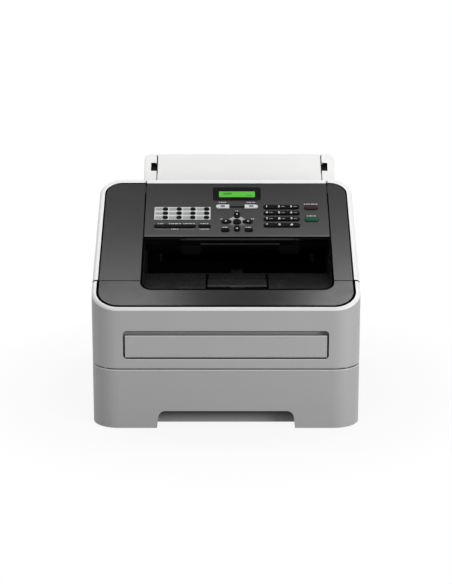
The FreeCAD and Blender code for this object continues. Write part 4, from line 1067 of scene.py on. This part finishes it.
def plain_rays(tree):
    # Rays that see plain white surroundings: the camera's own, and those by way of gloss or glass
    rays = tree.nodes.new("ShaderNodeLightPath").outputs
    sharp = either(tree, rays["Is Glossy Ray"], rays["Is Transmission Ray"])
    return either(tree, rays["Is Camera Ray"], sharp)


softbox("top_left_box", at=(-0.75, -1.25, 1.5), aim=BODY_MIDDLE, size=(0.9, 1.1), power=6.4)
softbox("top_right_box", at=(0.85, -1.25, 1.5), aim=BODY_MIDDLE, size=(0.9, 1.1), power=5.0)
softbox("right_fill_box", at=(1.9, -1.4, 0.35), aim=BODY_MIDDLE, size=(1.0, 0.9), power=25.5)
softbox("left_card", at=(-0.35, 0.47, 1.5), aim=LEFT_STRIP, size=(0.52, 0.20), power=3.9)
softbox("right_card", at=(0.40, 0.47, 1.5), aim=RIGHT_STRIP, size=(0.48, 0.20), power=4.9)

world = bpy.data.worlds.new("studio")
bpy.context.scene.world = world
world.use_nodes = True
sky = world.node_tree
sky.nodes.clear()
sky_out = sky.nodes.new("ShaderNodeOutputWorld")
seen = sky.nodes.new("ShaderNodeBackground")
seen.inputs["Color"].default_value = PURE_WHITE
seen.inputs["Strength"].default_value = 1.0
ambient = sky.nodes.new("ShaderNodeBackground")
ambient.inputs["Color"].default_value = PURE_WHITE
ambient.inputs["Strength"].default_value = AMBIENT
sky_mix = sky.nodes.new("ShaderNodeMixShader")
sky.links.new(plain_rays(sky), sky_mix.inputs["Fac"])
sky.links.new(ambient.outputs[0], sky_mix.inputs[1])
sky.links.new(seen.outputs[0], sky_mix.inputs[2])
sky.links.new(sky_mix.outputs[0], sky_out.inputs["Surface"])

# Pale floor: white to the camera, with some of its own shaded grey near the machine for a soft shadow
FLOOR_HALF = 6.0
FLOOR_GREY = (0.66, 0.66, 0.66, 1.0)
SHADOW_REACH = (0.22, 0.42)
WHITE_NEAR = 0.90
floor_mesh = bmesh.new()
bmesh.ops.create_grid(floor_mesh, x_segments=1, y_segments=1, size=FLOOR_HALF)
floor_data = bpy.data.meshes.new("floor")
floor_mesh.to_mesh(floor_data)
floor_mesh.free()
floor = bpy.data.objects.new("floor", floor_data)
bpy.context.scene.collection.objects.link(floor)
floor_skin = bpy.data.materials.new("floor_paper")
floor_skin.use_nodes = True
paper = floor_skin.node_tree
paper.nodes.clear()
paper_out = paper.nodes.new("ShaderNodeOutputMaterial")
matt = paper.nodes.new("ShaderNodeBsdfDiffuse")
matt.inputs["Color"].default_value = FLOOR_GREY
glow = paper.nodes.new("ShaderNodeEmission")
glow.inputs["Color"].default_value = PURE_WHITE
glow.inputs["Strength"].default_value = 1.0
reach = paper.nodes.new("ShaderNodeVectorMath")
reach.operation = "LENGTH"
paper.links.new(place(paper), reach.inputs[0])
fade = ramp(paper, reach.outputs["Value"], SHADOW_REACH, WHITE_NEAR)
paper_mix = paper.nodes.new("ShaderNodeMixShader")
paper.links.new(both(paper, plain_rays(paper), fade), paper_mix.inputs["Fac"])
paper.links.new(matt.outputs[0], paper_mix.inputs[1])
paper.links.new(glow.outputs[0], paper_mix.inputs[2])
paper.links.new(paper_mix.outputs[0], paper_out.inputs["Surface"])
floor_data.materials.append(floor_skin)

bpy.context.scene.view_settings.view_transform = "Standard"
